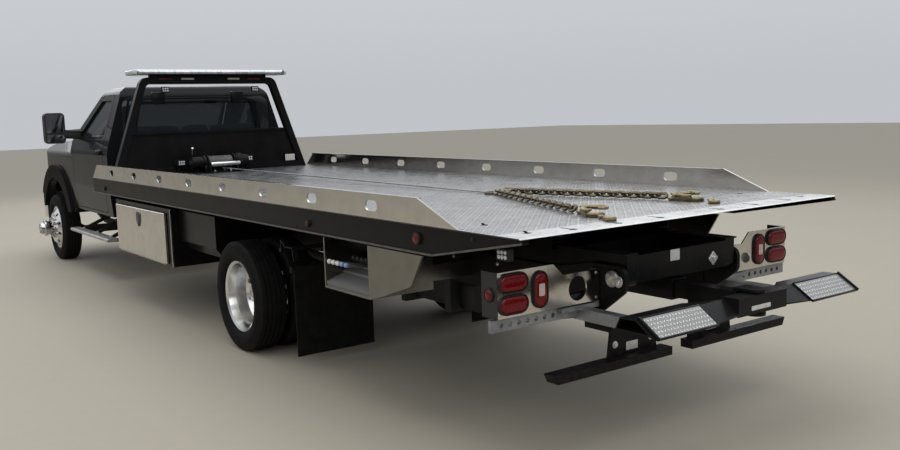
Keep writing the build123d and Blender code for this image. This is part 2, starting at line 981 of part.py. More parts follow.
def front_bumper():
    plan_points = [
        (-1000, nose_y - bumper_wrap),
        (-1000, nose_y - 130),
        (-780, nose_y),
        (780, nose_y),
        (1000, nose_y - 130),
        (1000, nose_y - bumper_wrap),
        (970, nose_y - bumper_wrap),
        (970, nose_y - 145),
        (765, nose_y - 30),
        (-765, nose_y - 30),
        (-970, nose_y - 145),
        (-970, nose_y - bumper_wrap),
    ]
    radii = [0, 80, 80, 80, 80, 0, 0, 60, 60, 60, 60, 0]
    bumper = prism("Z", plan_points, *bumper_z, radii)
    for side in (-1, 1):
        centre = side * tow_eye_x
        bumper -= block(
            (centre - 55, centre + 55), (nose_y - 60, nose_y + 5), (tow_eye_z[0] - 45, tow_eye_z[1] + 45)
        )
        arm = block(
            (centre - 38, centre + 38), (support_y[1], nose_y - 20), (rail_bottom + 40, rail_bottom + 130)
        )
        bumper += arm
        eye_face = Pos(centre, tow_hole_y) * Circle(tow_eye_half)
        eye_face += Pos(centre, tow_hole_y - 60) * Rectangle(tow_eye_half * 2, 120)
        eye_face -= Pos(centre, tow_hole_y) * Circle(tow_eye_radius)
        bumper += extrude_along("Z", eye_face, *tow_eye_z)
        web_y = (support_y[1] + 5, tow_hole_y - 45)
        bumper += block((centre - 12, centre + 12), web_y, (tow_eye_z[0] + 5, rail_bottom + 45))
    return bumper


write("front_bumper", front_bumper())


# Running boards: flat oval tubes on brackets from the frame

board_x = (cab_half - 86, cab_half + 44)
board_z = (425, 462)
board_y = (cab_back_y + 60, cowl_y + 100)


def running_board():
    tube_points = [(x, z) for x, z in zip((*board_x, *board_x[::-1]), (board_z[0],) * 2 + (board_z[1],) * 2)]
    tube = prism("Y", tube_points, *board_y, 16)
    bracket_points = [
        (board_x[0] + 30, board_z[0] + 15),
        (board_x[0] + 60, board_z[1]),
        (rail_outer, rail_bottom + 55),
        (rail_outer, rail_bottom + 15),
    ]
    for y in (board_y[0] + 190, sum(board_y) / 2 - 20, board_y[1] - 230):
        tube += prism("Y", bracket_points, y - 20, y + 20)
    return tube


write("running_boards", *both(running_board()))


# Toolboxes: hollow cases under the bed, with drop-down doors in front of their openings

def toolbox():
    case = block(
        (toolbox_inner, toolbox_outer), (toolbox_rear_y, toolbox_front_y), (toolbox_bottom, toolbox_top)
    )
    case -= block(
        (toolbox_inner + toolbox_wall, toolbox_outer - toolbox_wall),
        (toolbox_rear_y + toolbox_wall, toolbox_front_y - toolbox_wall),
        (toolbox_bottom + toolbox_wall, toolbox_top - toolbox_wall),
    )
    case -= block(
        (toolbox_outer - toolbox_wall - 5, toolbox_outer + 5),
        (toolbox_door_y[0] + 35, toolbox_door_y[1] - 35),
        (toolbox_door_z[0] + 35, toolbox_door_z[1] - 35),
    )
    for y in (toolbox_rear_y + 250, toolbox_front_y - 250):
        case += block(
            (rail_outer, toolbox_inner + 5), (y - 40, y + 40), (rail_bottom + 60, rail_bottom + 160)
        )
    return case


def side_tank():
    points = [
        (side_tank_inner, side_tank_z[0]),
        (side_tank_outer - 60, side_tank_z[0]),
        (side_tank_outer, side_tank_z[0] + 80),
        (side_tank_outer, side_tank_z[1]),
        (side_tank_inner, side_tank_z[1]),
    ]
    tank = prism("Y", points, *side_tank_y, 12)
    for y in (side_tank_y[0] + 150, side_tank_y[1] - 150):
        tank += block(
            (rail_outer, side_tank_inner + 20), (y - 40, y + 40), (rail_bottom + 60, rail_bottom + 160)
        )
    return tank


write("toolboxes", *both(toolbox(), side_tank()))


toolbox_hinge_radius = 7


def toolbox_door():
    x = (toolbox_outer + clearance, toolbox_outer + clearance + toolbox_door_wall)
    panel = block(x, toolbox_door_y, toolbox_door_z)
    edges = panel.faces().sort_by(Axis.X)[-1].edges()
    panel = chamfer(edges, 4)
    latch_y = sum(toolbox_door_y) / 2
    latch_z = toolbox_door_z[1] - 35
    latch_points = [
        (latch_y - 42, latch_z),
        (latch_y + 42, latch_z),
        (latch_y + 42, latch_z - 80),
        (latch_y, latch_z - 135),
        (latch_y - 42, latch_z - 80),
    ]
    latch = prism("X", latch_points, x[1] - 3, x[1] + 9, [20, 20, 20, 8, 20])
    hinge_ends = [
        (toolbox_hinge_x, y, toolbox_hinge_z) for y in (toolbox_door_y[0] + 40, toolbox_door_y[1] - 40)
    ]
    return panel + latch + bar(*hinge_ends, toolbox_hinge_radius)


write("toolbox_door_right", toolbox_door())
write("toolbox_door_left", mirror(toolbox_door(), about=Plane.YZ))


# Control boxes: open stainless cases with a row of levers, behind each rear wheel

# The console's section, from the low front edge up to the back wall
console_points = [
    (control_outer - control_wall, control_z[0] + 5),
    (control_outer - 2, control_z[0] + 38),
    (control_outer - 118, control_z[0] + 78),
    (control_outer - 122, control_z[0] + 92),
    (control_outer - 270, control_z[0] + 135),
    (control_outer - 330, control_z[0] + 135),
    (control_outer - 330, control_z[0] + 5),
]
lever_radius = 7
lever_foot_inset = 225
lever_foot_rise = 118
# Each row of levers: count, station of the first, pitch, tip's inset and rise, grip's share and radius
lever_rows = [
    (5, control_y[1] - 40, 50, 16, 160, 0.88, 13),
    (4, control_y[0] + 251, 48, 50, 205, 0.5, 11),
]


def control_lever(y, inset, rise, grip_share, grip_radius):
    """A rod that leans out of the console, with a knob or a longer grip on its end."""
    foot = Vector(control_outer - lever_foot_inset, y, control_z[0] + lever_foot_rise)
    tip = Vector(control_outer - inset, y, control_z[0] + rise)
    grip_start = foot + (tip - foot) * grip_share
    return bar(foot, tip, lever_radius) + bar(grip_start, tip, grip_radius)


def control_box():
    case = block((control_inner, control_outer), control_y, control_z)
    case -= block(
        (control_inner + control_wall, control_outer + 5),
        (control_y[0] + control_wall, control_y[1] - control_wall),
        (control_z[0] + control_wall, control_z[1] + 5),
    )
    console = prism("Y", console_points, control_y[0] + control_wall - 1, control_y[1] - control_wall + 1)
    side_points = [
        (control_y[0], control_z[1]),
        (control_tail_y, control_z[1]),
        (control_tail_y + 110, control_z[0] + 130),
        (control_y[0] - 120, control_z[0] + 35),
        (control_y[0] + 5, control_z[0]),
        (control_y[0] + 5, control_z[1]),
    ]
    side_panel = prism("X", side_points, control_outer - control_wall, control_outer, [0, 0, 70, 60, 0, 0])
    case += console + side_panel
    for y in (control_y[0] + 90, control_y[1] - 90):
        case += block(
            (rail_outer, control_inner + 5), (y - 30, y + 30), (rail_bottom + 60, rail_bottom + 160)
        )
    for count, first_y, pitch, *lever_form in lever_rows:
        for number in range(count):
            case += control_lever(first_y - pitch * number, *lever_form)
    return case


write("control_boxes", *both(control_box()))


# Mud flaps: rubber sheets behind the rear wheels, on a hanger from the frame

def mud_flap():
    return block(flap_x, (flap_y, flap_y + flap_wall), flap_z)


# The folded strip behind each rear wheel, from its top end downward, on an arm from the frame
strip_points = [(2433, 899), (2375, 859), (2275, 863), (2256, 778)]
strip_x = (1150, 1190)
strip_wall = 8
strip_arm_z = (820, 845)


def flap_hanger():
    y = (flap_y + flap_wall, flap_y + flap_wall + 40)
    hanger = block((rail_outer, flap_x[1] + 10), y, (flap_z[1] - 40, flap_z[1]))
    return hanger + block((rail_outer, rail_outer + 10), y, (flap_z[1] - 40, flap_z[1] + 80))


def strip_bracket():
    top_y, top_z = strip_points[0]
    strip = extrude_along("X", trace(Polyline(*strip_points), strip_wall), *strip_x)
    strip += block((rail_outer, strip_x[1]), (top_y - 3, top_y + 25), strip_arm_z)
    return strip + block(strip_x, (top_y - 3, top_y + 5), (strip_arm_z[0], top_z + 2))


write("mud_flaps", *both(mud_flap()))
write("flap_hangers", *both(flap_hanger(), strip_bracket()))


# Tail panels: stepped stainless plates with side returns, and the lamps that they carry

def tail_panel():
    points = [
        (tail_panel_inner, tail_panel_z[0]),
        (tail_panel_outer, tail_panel_z[0]),
        (tail_panel_outer, tail_panel_z[1]),
        (tail_panel_step_x[1], tail_panel_z[1]),
        (tail_panel_step_x[0], tail_panel_low_top),
        (tail_panel_inner, tail_panel_low_top),
    ]
    panel = prism("Y", points, tail_panel_y - tail_panel_wall, tail_panel_y)
    port_z = (tail_panel_z[0] + tail_panel_low_top) / 2
    panel -= bar(
        (tail_port_x, tail_panel_y - 20, port_z),
        (tail_port_x, tail_panel_y + 20, port_z),
        tail_port_radius,
    )
    side_return = block(
        (tail_panel_outer - tail_panel_wall, tail_panel_outer),
        (tail_panel_y - tail_panel_wall, tail_panel_y + tail_panel_return),
        tail_panel_z,
    )
    inner_return = block(
        (tail_panel_inner, tail_panel_inner + tail_panel_wall),
        (tail_panel_y - tail_panel_wall, tail_panel_y + 50),
        (tail_panel_z[0], tail_panel_low_top),
    )
    arm = block(
        (hinge_plate_outer, tail_panel_outer - 20),
        (tail_panel_y + 20, tail_panel_y + 60),
        (tail_panel_z[0] + 5, tail_panel_z[0] + 45),
    )
    tie = block(
        (tail_panel_outer - 60, tail_panel_outer - 20),
        (tail_panel_y - 2, tail_panel_y + 60),
        (tail_panel_z[0] + 5, tail_panel_z[0] + 45),
    )
    return panel + side_return + inner_return + arm + tie


write("tail_panels", *both(tail_panel()))

# Centre x and z, width and height of each oval tail lamp
tail_lamp_table = [
    (tail_panel_outer - 94, 888, 172, 84),
    (tail_panel_outer - 94, 784, 172, 84),
    (tail_panel_outer - 264, 833, 84, 172),
]


def tail_lamps():
    lamps = []
    face_y = tail_panel_y - tail_panel_wall
    for x, z, width, height in tail_lamp_table:
        slot = SlotOverall(max(width, height), min(width, height), rotation=0 if width > height else 90)
        lamps.append(extrude_along("Y", Pos(x, z) * slot, face_y - lamp_proud, face_y))
    marker_z = 833
    lamps.append(
        bar(
            (tail_panel_outer, tail_panel_y + 50, marker_z),
            (tail_panel_outer + 10, tail_panel_y + 50, marker_z),
            32,
        )
    )
    return lamps


write("tail_lamps", *both(*tail_lamps()))


# Rear guard: two low bars on hangers from the frame's end

def rear_guard():
    y = (guard_bar_y - guard_bar_depth, guard_bar_y)
    low = prism(
        "Y",
        [
            (guard_bar_x[0], guard_bar_z[0]),
            (guard_bar_x[1] - 20, guard_bar_z[0]),
            (guard_bar_x[1], guard_bar_z[1]),
            (guard_bar_x[0], guard_bar_z[1]),
        ],
        *y,
    )
    plate_y = (y[1] - 15, y[1])
    link_z = (guard_link_z, guard_link_z + 40)
    low += prism(
        "Y",
        [
            (guard_hanger_x[0], guard_bar_z[1] - 2),
            (guard_hanger_x[1], guard_bar_z[1] - 2),
            (guard_hanger_x[1] - 25, link_z[1]),
            (guard_hanger_x[0] + 25, link_z[1]),
        ],
        *plate_y,
        [0, 0, 20, 20],
    )
    for x in (guard_hanger_x[0] + 60, guard_hanger_x[1] - 72):
        rib_points = [
            (y[1] - 3, guard_bar_z[1] - 2),
            (y[1] + 45, link_z[0]),
            (y[1] + 45, link_z[1]),
            (y[1] - 3, link_z[1]),
        ]
        low += prism("X", rib_points, x, x + 12)
    link = block((guard_hanger_x[0] + 40, guard_hanger_x[1] - 40), (y[1] - 5, y[1] + 45), link_z)
    post = block((rail_inner + 10, hinge_plate_outer), (y[1] - 5, rail_rear_y + 60), link_z)
    post_up = block(
        (rail_outer, hinge_plate_outer), (rail_rear_y, rail_rear_y + 60), (link_z[0] + 30, rail_bottom)
    )
    return low + link + post + post_up


write("rear_guard", *both(rear_guard()))


# Stowed lift arms: a perforated arm across the truck with a square tube that points rearward

arm_hole_count = 7
arm_hole_pitch = 55
arm_hole_radius = 12
arm_wall = 25
arm_z = (tail_panel_z[0] - 67, tail_panel_z[0] - 7)
arm_x = (560, tail_panel_outer + 20)
arm_y = tail_panel_y + 15
gusset_wall = 10
gusset_rise = 5
peg_half = 30
peg_wall = 10
peg_x = 560
peg_tip_y = -30


def stowed_arm():
    arm = block(arm_x, (arm_y, arm_y + arm_wall), arm_z)
    middle_z = sum(arm_z) / 2
    for number in range(arm_hole_count):
        x = arm_x[1] - 60 - number * arm_hole_pitch
        arm -= bar((x, arm_y - 10, middle_z), (x, arm_y + arm_wall + 10, middle_z), arm_hole_radius)
    peg_z = (arm_z[0] - 20, arm_z[0] - 20 + 2 * peg_half)
    peg = block((peg_x - peg_half, peg_x + peg_half), (peg_tip_y, arm_y + 30), peg_z)
    bore = peg_half - peg_wall
    peg -= block(
        (peg_x - bore, peg_x + bore), (peg_tip_y - 10, arm_y - 30), (peg_z[0] + peg_wall, peg_z[1] - peg_wall)
    )
    gusset_points = [
        (peg_x, arm_z[0] - 18),
        (peg_x + 200, arm_z[0]),
        (peg_x + 200, arm_z[1]),
        (peg_x + 160, arm_z[1] + gusset_rise),
        (hinge_plate_outer + 10, arm_z[1] + gusset_rise),
        (hinge_plate_outer + 10, arm_z[0] - 18),
    ]
    gusset = prism(
        "Y", gusset_points, arm_y + arm_wall - 2, arm_y + arm_wall + gusset_wall, [0, 0, 0, 10, 10, 0]
    )
    stop = block((peg_x - 90, peg_x + 170), (arm_y - 30, arm_y - 2), (arm_z[1] - 24, arm_z[1]))
    stop += block((peg_x + 60, peg_x + 80), (arm_y - 4, arm_y + arm_wall), (arm_z[1] - 24, arm_z[1]))
    stop += block(
        (peg_x - 90, peg_x - 64), (arm_y - 30, arm_y + arm_wall), (arm_z[1] - 24, arm_z[1] + gusset_rise)
    )
    holder = block((hinge_plate_outer, peg_x), (arm_y + arm_wall, arm_y + 80), (arm_z[0], arm_z[0] + 45))
    return arm + peg + gusset + stop + holder


write("stowed_arms", *both(stowed_arm()))


# Steering knuckles: upper and lower arms on the kingpin, a web and the spindle

knuckle_web_x = (872, 894)
front_spindle_end = 1060


def knuckle():
    web = prism(
        "X",
        [
            (front_axle_y - 60, 315),
            (front_axle_y + 60, 315),
            (front_axle_y + 60, 495),
            (front_axle_y - 60, 495),
        ],
        *knuckle_web_x,
        30,
    )
    body = web
    for low, high in ((315, 358), (452, 495)):
        ear = block((kingpin_x, knuckle_web_x[0] + 2), (front_axle_y - 38, front_axle_y + 38), (low, high))
        ear += bar((kingpin_x, front_axle_y, low), (kingpin_x, front_axle_y, high), 38)
        body += ear
    body -= bar(
        (kingpin_x, front_axle_y, 300), (kingpin_x, front_axle_y, 510), kingpin_radius + running_fit
    )
    spindle_start = (knuckle_web_x[1] - 2, front_axle_y, tyre_radius)
    body += bar(spindle_start, (front_spindle_end, front_axle_y, tyre_radius), front_spindle_radius)
    arm = prism(
        "Z",
        [(kingpin_x - 16, front_axle_y - 30), (kingpin_x + 30, front_axle_y - 30),
         (kingpin_x + 5, front_axle_y - 190), (kingpin_x - 30, front_axle_y - 190)],
        318,
        338,
        8,
    )
    arm -= bar((kingpin_x, front_axle_y, 300), (kingpin_x, front_axle_y, 510), kingpin_radius + running_fit)
    return body + arm


write("knuckle_right", knuckle())
write("knuckle_left", mirror(knuckle(), about=Plane.YZ))


# Wheels: turned tyre and rim sections, the rim drawn from its mounting face outward

def tyre(centre_x, axle_y):
    half = tyre_width / 2
    bead = rim_half_width - 17
    points = [
        (-bead - 7, rim_radius + 1.5),
        (-half + 8, rim_radius + 14),
        (-half, tyre_radius - 80),
        (-half + 4, tyre_radius - 33),
        (-half + 20, tyre_radius),
        (half - 20, tyre_radius),
        (half - 4, tyre_radius - 33),
        (half, tyre_radius - 80),
        (half - 8, rim_radius + 14),
        (bead + 7, rim_radius + 1.5),
        (bead, rim_radius - 13.5),
        (-bead, rim_radius - 13.5),
    ]
    return turned(points, centre_x, axle_y, tyre_radius)


def rim_points(bore, hub_points):
    """The rim's section from its mounting face at zero, with the hub's own points joined on."""
    near = rim_offset - rim_half_width
    far = rim_offset + rim_half_width
    return [
        (0, bore),
        (0, 182),
        (near + 2, 240),
        (near, rim_radius),
        (near + 8, rim_radius),
        (near + 16, rim_radius - 14.5),
        (near + 66, rim_radius - 27),
        (far - 66, rim_radius - 27),
        (far - 16, rim_radius - 14.5),
        (far - 8, rim_radius),
        (far, rim_radius),
        (far - 10, rim_radius - 20),
        (far - 66, rim_radius - 35),
        (near + 22, rim_radius - 35),
        (12, 172),
        *hub_points,
    ]


def with_hand_holes(rim, face_x, outward, axle_y):
    for number in range(hand_hole_count):
        angle = radians(360 / hand_hole_count * (number + 0.5))
        y = axle_y + hand_hole_circle * cos(angle)
        z = tyre_radius + hand_hole_circle * sin(angle)
        low, high = sorted((face_x - outward * 30, face_x + outward * 75))
        rim -= bar((low, y, z), (high, y, z), hand_hole_radius)
    return rim


def rear_wheel():
    outer = turned(rim_points(hub_radius - 5, [(12, hub_radius - 5)]), twin_centre, rear_axle_y, tyre_radius)
    outer = with_hand_holes(outer, twin_centre, 1, rear_axle_y)
    inner = mirror(outer, about=Plane(origin=(twin_centre, 0, 0), z_dir=(1, 0, 0)))
    hub_section = [
        (rear_hub_inner, rear_spindle_radius + running_fit),
        (rear_hub_inner, 78),
        (rear_hub_inner + 12, 78),
        (rear_hub_inner + 12, 188),
        (rear_hub_inner + 44, 188),
        (rear_hub_inner + 44, hub_radius),
        (twin_centre + 80, hub_radius),
        (twin_centre + 110, hub_radius - 22),
        (twin_centre + 110, 0),
        (rear_spindle_end + 8, 0),
        (rear_spindle_end + 8, rear_spindle_radius + running_fit),
    ]
    hub = turned(hub_section, 0, rear_axle_y, tyre_radius)
    return outer + inner + hub


def front_wheel():
    face_x = front_track_half + rim_offset
    points = rim_points(hub_radius - 5, [(12, hub_radius - 5)])
    dish = [(-along, radius) for along, radius in points]
    rim = turned(dish, face_x, front_axle_y, tyre_radius)
    rim = with_hand_holes(rim, face_x, -1, front_axle_y)
    hub_inner = knuckle_web_x[1] + clearance
    hub_section = [
        (hub_inner, front_spindle_radius + running_fit),
        (hub_inner, 62),
        (hub_inner + 8, 62),
        (hub_inner + 8, 188),
        (hub_inner + 40, 188),
        (hub_inner + 40, hub_radius - 5),
        (face_x + 30, hub_radius - 5),
        (face_x + 62, hub_radius - 22),
        (face_x + 70, 0),
        (front_spindle_end + 8, 0),
        (front_spindle_end + 8, front_spindle_radius + running_fit),
    ]
    return rim + turned(hub_section, 0, front_axle_y, tyre_radius)


front_tyre = tyre(front_track_half, front_axle_y)
rear_tyres = [tyre(twin_centre + end * rim_offset, rear_axle_y) for end in (-1, 1)]
wheel_solids = [
    ("front_tyre", [front_tyre]),
    ("front_rim", [front_wheel()]),
    ("rear_tyres", rear_tyres),
    ("rear_rims", [rear_wheel()]),
]
for node, solids in wheel_solids:
    write(f"{node}_right", *solids)
    write(f"{node}_left", *[mirror(solid, about=Plane.YZ) for solid in solids])


# Tilt frame: box rails with guide plates on top and hinge lugs at the rear

def tilt_frame():
    rail_y = (tilt_pin_y - 60, tilt_rail_front_y)
    rail = block((tilt_rail_inner, tilt_rail_outer), rail_y, (tilt_rail_bottom, tilt_rail_top))
    guide = block(
        (tilt_rail_inner, tilt_rail_outer + guide_overhang), rail_y, (
            tilt_rail_top, tilt_rail_top + guide_plate
        )
    )
    lug = prism(
        "X",
        [
            (tilt_pin_y - 60, tilt_pin_z - 45),
            (tilt_pin_y + 55, tilt_pin_z - 45),
            (tilt_pin_y + 75, tilt_rail_bottom + 2),
            (tilt_pin_y - 60, tilt_rail_bottom + 2),
        ],
        tilt_rail_inner,
        tilt_rail_outer,
        [35, 35, 0, 0],
    )
    side = rail + guide + lug
    pin_hole = bar(
        (tilt_rail_inner - 5, tilt_pin_y, tilt_pin_z),
        (tilt_rail_outer + 3, tilt_pin_y, tilt_pin_z),
        tilt_pin_radius + running_fit,
    )
    side -= pin_hole
    return side


def tilt_members():
    """The plate that closes the tilt frame's tail, the cross members, and the lugs of the rods' eyes."""
    reach = (-tilt_rail_inner, tilt_rail_inner)
    tail = tilt_pin_y - 60
    plate_z = (tilt_rail_bottom - 48, tilt_rail_top - 6)
    members = [block(reach, (tail, tail + tail_plate_wall), plate_z)]
    for y in (tilt_pin_y + 440, tilt_pin_y + 2020, rod_pin_y + 500, tilt_rail_front_y - 40):
        members.append(block(reach, (y - 40, y + 40), (tilt_rail_bottom, tilt_rail_top - 10)))
    lug_x = (cylinder_x + cylinder_eye_half + clearance, tilt_rail_inner)
    rod_lug = block(lug_x, (rod_pin_y - 40, rod_pin_y + 40), (tilt_rail_bottom, tilt_rail_top))
    return members + both(rod_lug)


write("tilt_frame", *both(tilt_frame()))
write("tilt_members", *tilt_members())


# Tilt cylinders, drawn along the line from the frame's tube to the tilt frame's lug

def cylinder_line():
    start = Vector(cylinder_x, cylinder_base_y, cylinder_base_z)
    end = Vector(cylinder_x, rod_pin_y, rod_pin_z)
    return start, end, (end - start).normalized()


def tilt_barrel():
    start, end, along = cylinder_line()
    length = (end - start).length - 150
    first = start + along * 30
    last = start + along * length
    barrel = bar(first, last, barrel_radius)
    barrel += bar(
        (cylinder_x - cylinder_eye_half, cylinder_base_y, cylinder_base_z),
        (cylinder_x + cylinder_eye_half, cylinder_base_y, cylinder_base_z),
        cylinder_eye_radius,
    )
    barrel -= bar(
        (cylinder_x - 60, cylinder_base_y, cylinder_base_z),
        (cylinder_x + 60, cylinder_base_y, cylinder_base_z),
        cylinder_pin_radius + running_fit,
    )
    inner_start = last - along * (rod_stroke + 80)
    return barrel - bar(inner_start, (last + along * 5), rod_radius + running_fit)


def tilt_rod():
    start, end, along = cylinder_line()
    length = (end - start).length - 150
    first = start + along * (length - 60)
    last = end - along * (cylinder_eye_radius - 10)
    piston_rod = bar(first, last, rod_radius)
    piston_rod += bar(
        (cylinder_x - cylinder_eye_half, rod_pin_y, rod_pin_z),
        (cylinder_x + cylinder_eye_half, rod_pin_y, rod_pin_z),
        cylinder_eye_radius - 3,
    )
    return piston_rod


write("tilt_barrels", *both(tilt_barrel()))
write("tilt_rods", *both(tilt_rod()))


# Deck: plate and channel cross members, on sills that hook under the tilt frame and side beams

def side_beam():
    low = deck_top - side_beam_depth
    tail_low = deck_under - beam_tail_depth
    points = [
        (0, tail_low),
        (beam_taper_length, low),
        (bed_length, low),
        (bed_length, deck_under),
        (0, deck_under),
    ]
    wall = side_beam_wall
    inner_points = [
        (-5, tail_low + wall),
        (beam_taper_length, low + wall),
        (bed_length + 5, low + wall),
        (bed_length + 5, deck_under - wall),
        (-5, deck_under - wall),
    ]
    web_outer = bed_half - side_beam_lip
    beam = prism("X", points, bed_half - side_beam_width, web_outer)
    beam -= prism("X", inner_points, bed_half - side_beam_width - 5, web_outer - wall)
    lip_points = [
        (0, tail_low),
        (beam_taper_length, low),
        (bed_length, low),
        (bed_length, low + side_beam_lip),
        (beam_taper_length, low + side_beam_lip),
        (0, tail_low + side_beam_lip),
    ]
    return beam + prism("X", lip_points, web_outer - 1, bed_half)


def sill():
    points = [
        (sill_inner, tilt_rail_top - 15),
        (sill_outer, tilt_rail_top - 15),
        (sill_outer, sill_top),
        (sill_outer - sill_wall, sill_top),
        (sill_outer - sill_wall, tilt_rail_top - 6),
        (sill_inner, tilt_rail_top - 6),
    ]
    shape = prism("Y", points, sill_rear_y, bed_length - 100)
    runner_z = (tilt_rail_top + guide_plate + clearance, tilt_rail_top + guide_plate + clearance + 10)
    shape += block((tilt_rail_inner + 30, sill_outer), (sill_rear_y, bed_length - 100), runner_z)
    return shape


def cross_member(y):
    wall = cross_member_wall
    low = sill_top
    reach = bed_half - side_beam_width
    member = block((-reach, reach), (y, y + cross_member_width), (low, deck_under))
    return member - block(
        (-reach - 5, reach + 5), (y - 5, y + cross_member_width - wall), (low + wall, deck_under - wall)
    )


def key_slot(x, y, turn):
    """A hole for a chain's hook with a narrow slot ahead of it that the links can't pull through."""
    face = Circle(key_hole_radius) + Pos(0, key_slot_length / 2) * Rectangle(key_slot_width, key_slot_length)
    return Pos(x, y, deck_under - 5) * Rot(0, 0, turn) * extrude(face, deck_plate + 10)


def deck():
    shape = block((-bed_half, bed_half), (0, bed_length), (deck_under, deck_top))
    shape -= prism(
        "X", [(-1, deck_top + 1), (-1, deck_top - 5), (tail_bevel, deck_top + 1)], -bed_half, bed_half
    )
    for x, y, turn in key_slots:
        for solid in both(key_slot(x, y, turn)):
            shape -= solid
    first = beam_taper_length
    pitch = (bed_length - first - cross_member_width) / (cross_member_count - 1)
    for number in range(cross_member_count):
        shape += cross_member(first + number * pitch)
    return shape


write("deck", deck())
write("deck_beams", *both(side_beam(), sill()))


# Side rails: stainless plates with slanted ends and a row of oblong holes

def side_rail():
    top = deck_top + side_rail_height
    points = [
        (side_rail_rear[0], deck_top),
        (side_rail_front[0], deck_top),
        (side_rail_front[1], top),
        (side_rail_rear[1], top),
    ]
    plate = prism("X", points, bed_half - side_rail_wall, bed_half)
    lip_y = (side_rail_rear[1] + 10, side_rail_front[1] - 10)
    plate += block((bed_half - 34, bed_half), lip_y, (top - 8, top))
    for number in range(rail_hole_count):
        y = rail_hole_first_y - rail_hole_pitch * number
        hole = Pos(y, deck_top + side_rail_height / 2) * SlotOverall(rail_hole_length, rail_hole_height)
        plate -= extrude_along("X", hole, bed_half - side_rail_wall - 5, bed_half + 5)
    return plate


write("side_rails", *both(side_rail()))


# Cab guard: a bent tube frame with a solid lower panel

def cab_guard():
    def half_width(z, inset=0):
        share = (z - deck_top) / (guard_top - deck_top)
        return guard_base_half + (guard_top_half - guard_base_half) * share - inset

    outer_points = mirrored_outline([(guard_base_half, deck_top), (guard_top_half, guard_top)])
    y = (guard_y, guard_y + guard_depth)
    frame_solid = prism("Y", outer_points, *y, [0, 95, 95, 0])
    low = deck_top + 60
    high = guard_top - guard_tube
    inner_points = mirrored_outline(
        [(half_width(low, guard_tube + 6), low), (half_width(high, guard_tube + 6), high)]
    )
    frame_solid -= prism("Y", inner_points, y[0] - 5, y[1] + 5, [0, 60, 60, 0])
    panel_points = mirrored_outline(
        [(half_width(deck_top, 20), deck_top), (half_width(guard_window_bottom, 20), guard_window_bottom)]
    )
    frame_solid += prism("Y", panel_points, guard_y + 30, guard_y + 30 + guard_plate)
    bar_reach = half_width(guard_window_bottom, 20)
    frame_solid += block(
        (-bar_reach, bar_reach), (guard_y + 10, guard_y + guard_depth - 10), (
            guard_window_bottom - 24, guard_window_bottom
        )
    )
    return frame_solid


write("cab_guard", cab_guard())


# Light bar on two feet above the guard

def light_bar():
    centre_y = guard_y + guard_depth / 2
    low = guard_top + light_bar_foot
    y = (centre_y - light_bar_depth / 2, centre_y + light_bar_depth / 2)
    high = low + light_bar_height
    section_points = [
        (y[0], low),
        (y[1], low),
        (y[1], high - 22),
        (y[1] - 45, high),
        (y[0] + 45, high),
        (y[0], high - 22),
    ]
    shell = prism("X", section_points, -light_bar_half, light_bar_half, [6, 6, 12, 30, 30, 12])
    plan = Pos(0, centre_y) * RectangleRounded(light_bar_half * 2, light_bar_depth, 75)
    shell &= extrude_along("Z", plan, low - 1, high + 1)
    for x in (-560, 560):
        shell += block((x - 40, x + 40), (guard_y + 8, guard_y + guard_depth - 8), (guard_top, low + 5))
    return shell


write("light_bar", light_bar())


# Winch: drum between two bearing stands, motor and gearbox, with a roller in front of the drum

drum_z = deck_top + 105
drum_half = 150
drum_radius = 45
flange_radius = 86
flange_wall = 9
stand_wall = 26
motor_radius = 66
motor_length = 125
gear_radius = 78
gear_length = 120
fairlead_y = winch_y - 165
fairlead_half = 175


def winch_stand(x):
    """A bearing plate with a round head about the drum's axle and a wide foot."""
    points = [
        (winch_y - 108, deck_top),
        (winch_y + 108, deck_top),
        (winch_y + 62, drum_z),
        (winch_y - 62, drum_z),
    ]
    foot = prism("X", points, x, x + stand_wall)
    return foot + bar((x, winch_y, drum_z), (x + stand_wall, winch_y, drum_z), gear_radius)


def winch():
    drum_points = [
        (-drum_half - 20, 0),
        (-drum_half - 20, 34),
        (-drum_half, 34),
        (-drum_half, flange_radius),
        (-drum_half + flange_wall, flange_radius),
        (-drum_half + flange_wall, drum_radius),
        (drum_half - flange_wall, drum_radius),
        (drum_half - flange_wall, flange_radius),
        (drum_half, flange_radius),
        (drum_half, 34),
        (drum_half + 20, 34),
        (drum_half + 20, 0),
    ]
    motor_start = -drum_half - 12 - stand_wall
    motor_points = [
        (motor_start + 5, 0),
        (motor_start + 5, motor_radius),
        (motor_start - motor_length + 12, motor_radius),
        (motor_start - motor_length, motor_radius - 16),
        (motor_start - motor_length, 0),
    ]
    gear_start = drum_half + 12 + stand_wall
    gear_points = [
        (gear_start - 5, 0),
        (gear_start - 5, gear_radius + 8),
        (gear_start + 45, gear_radius + 8),
        (gear_start + 45, gear_radius - 8),
        (gear_start + gear_length - 10, gear_radius - 8),
        (gear_start + gear_length, gear_radius - 24),
        (gear_start + gear_length, 0),
    ]
    unit = block((winch_x - 300, winch_x + 300), (winch_y - 110, winch_y + 110), (deck_top, deck_top + 14))
    for points in (drum_points, motor_points, gear_points):
        unit += turned(points, winch_x, winch_y, drum_z)
    for x in (-drum_half - 12 - stand_wall, drum_half + 12):
        unit += winch_stand(winch_x + x)
    post_points = [
        (fairlead_y - 26, deck_top),
        (fairlead_y + 90, deck_top),
        (fairlead_y + 22, deck_top + 122),
        (fairlead_y - 26, deck_top + 122),
    ]
    for side in (-1, 1):
        x = winch_x + side * fairlead_half
        unit += prism("X", post_points, x - 8, x + 8, [0, 0, 18, 18])
    roller_ends = [(winch_x + side * fairlead_half, fairlead_y, deck_top + 92) for side in (-1, 1)]
    return unit + bar(*roller_ends, 17)


write("winch", winch())


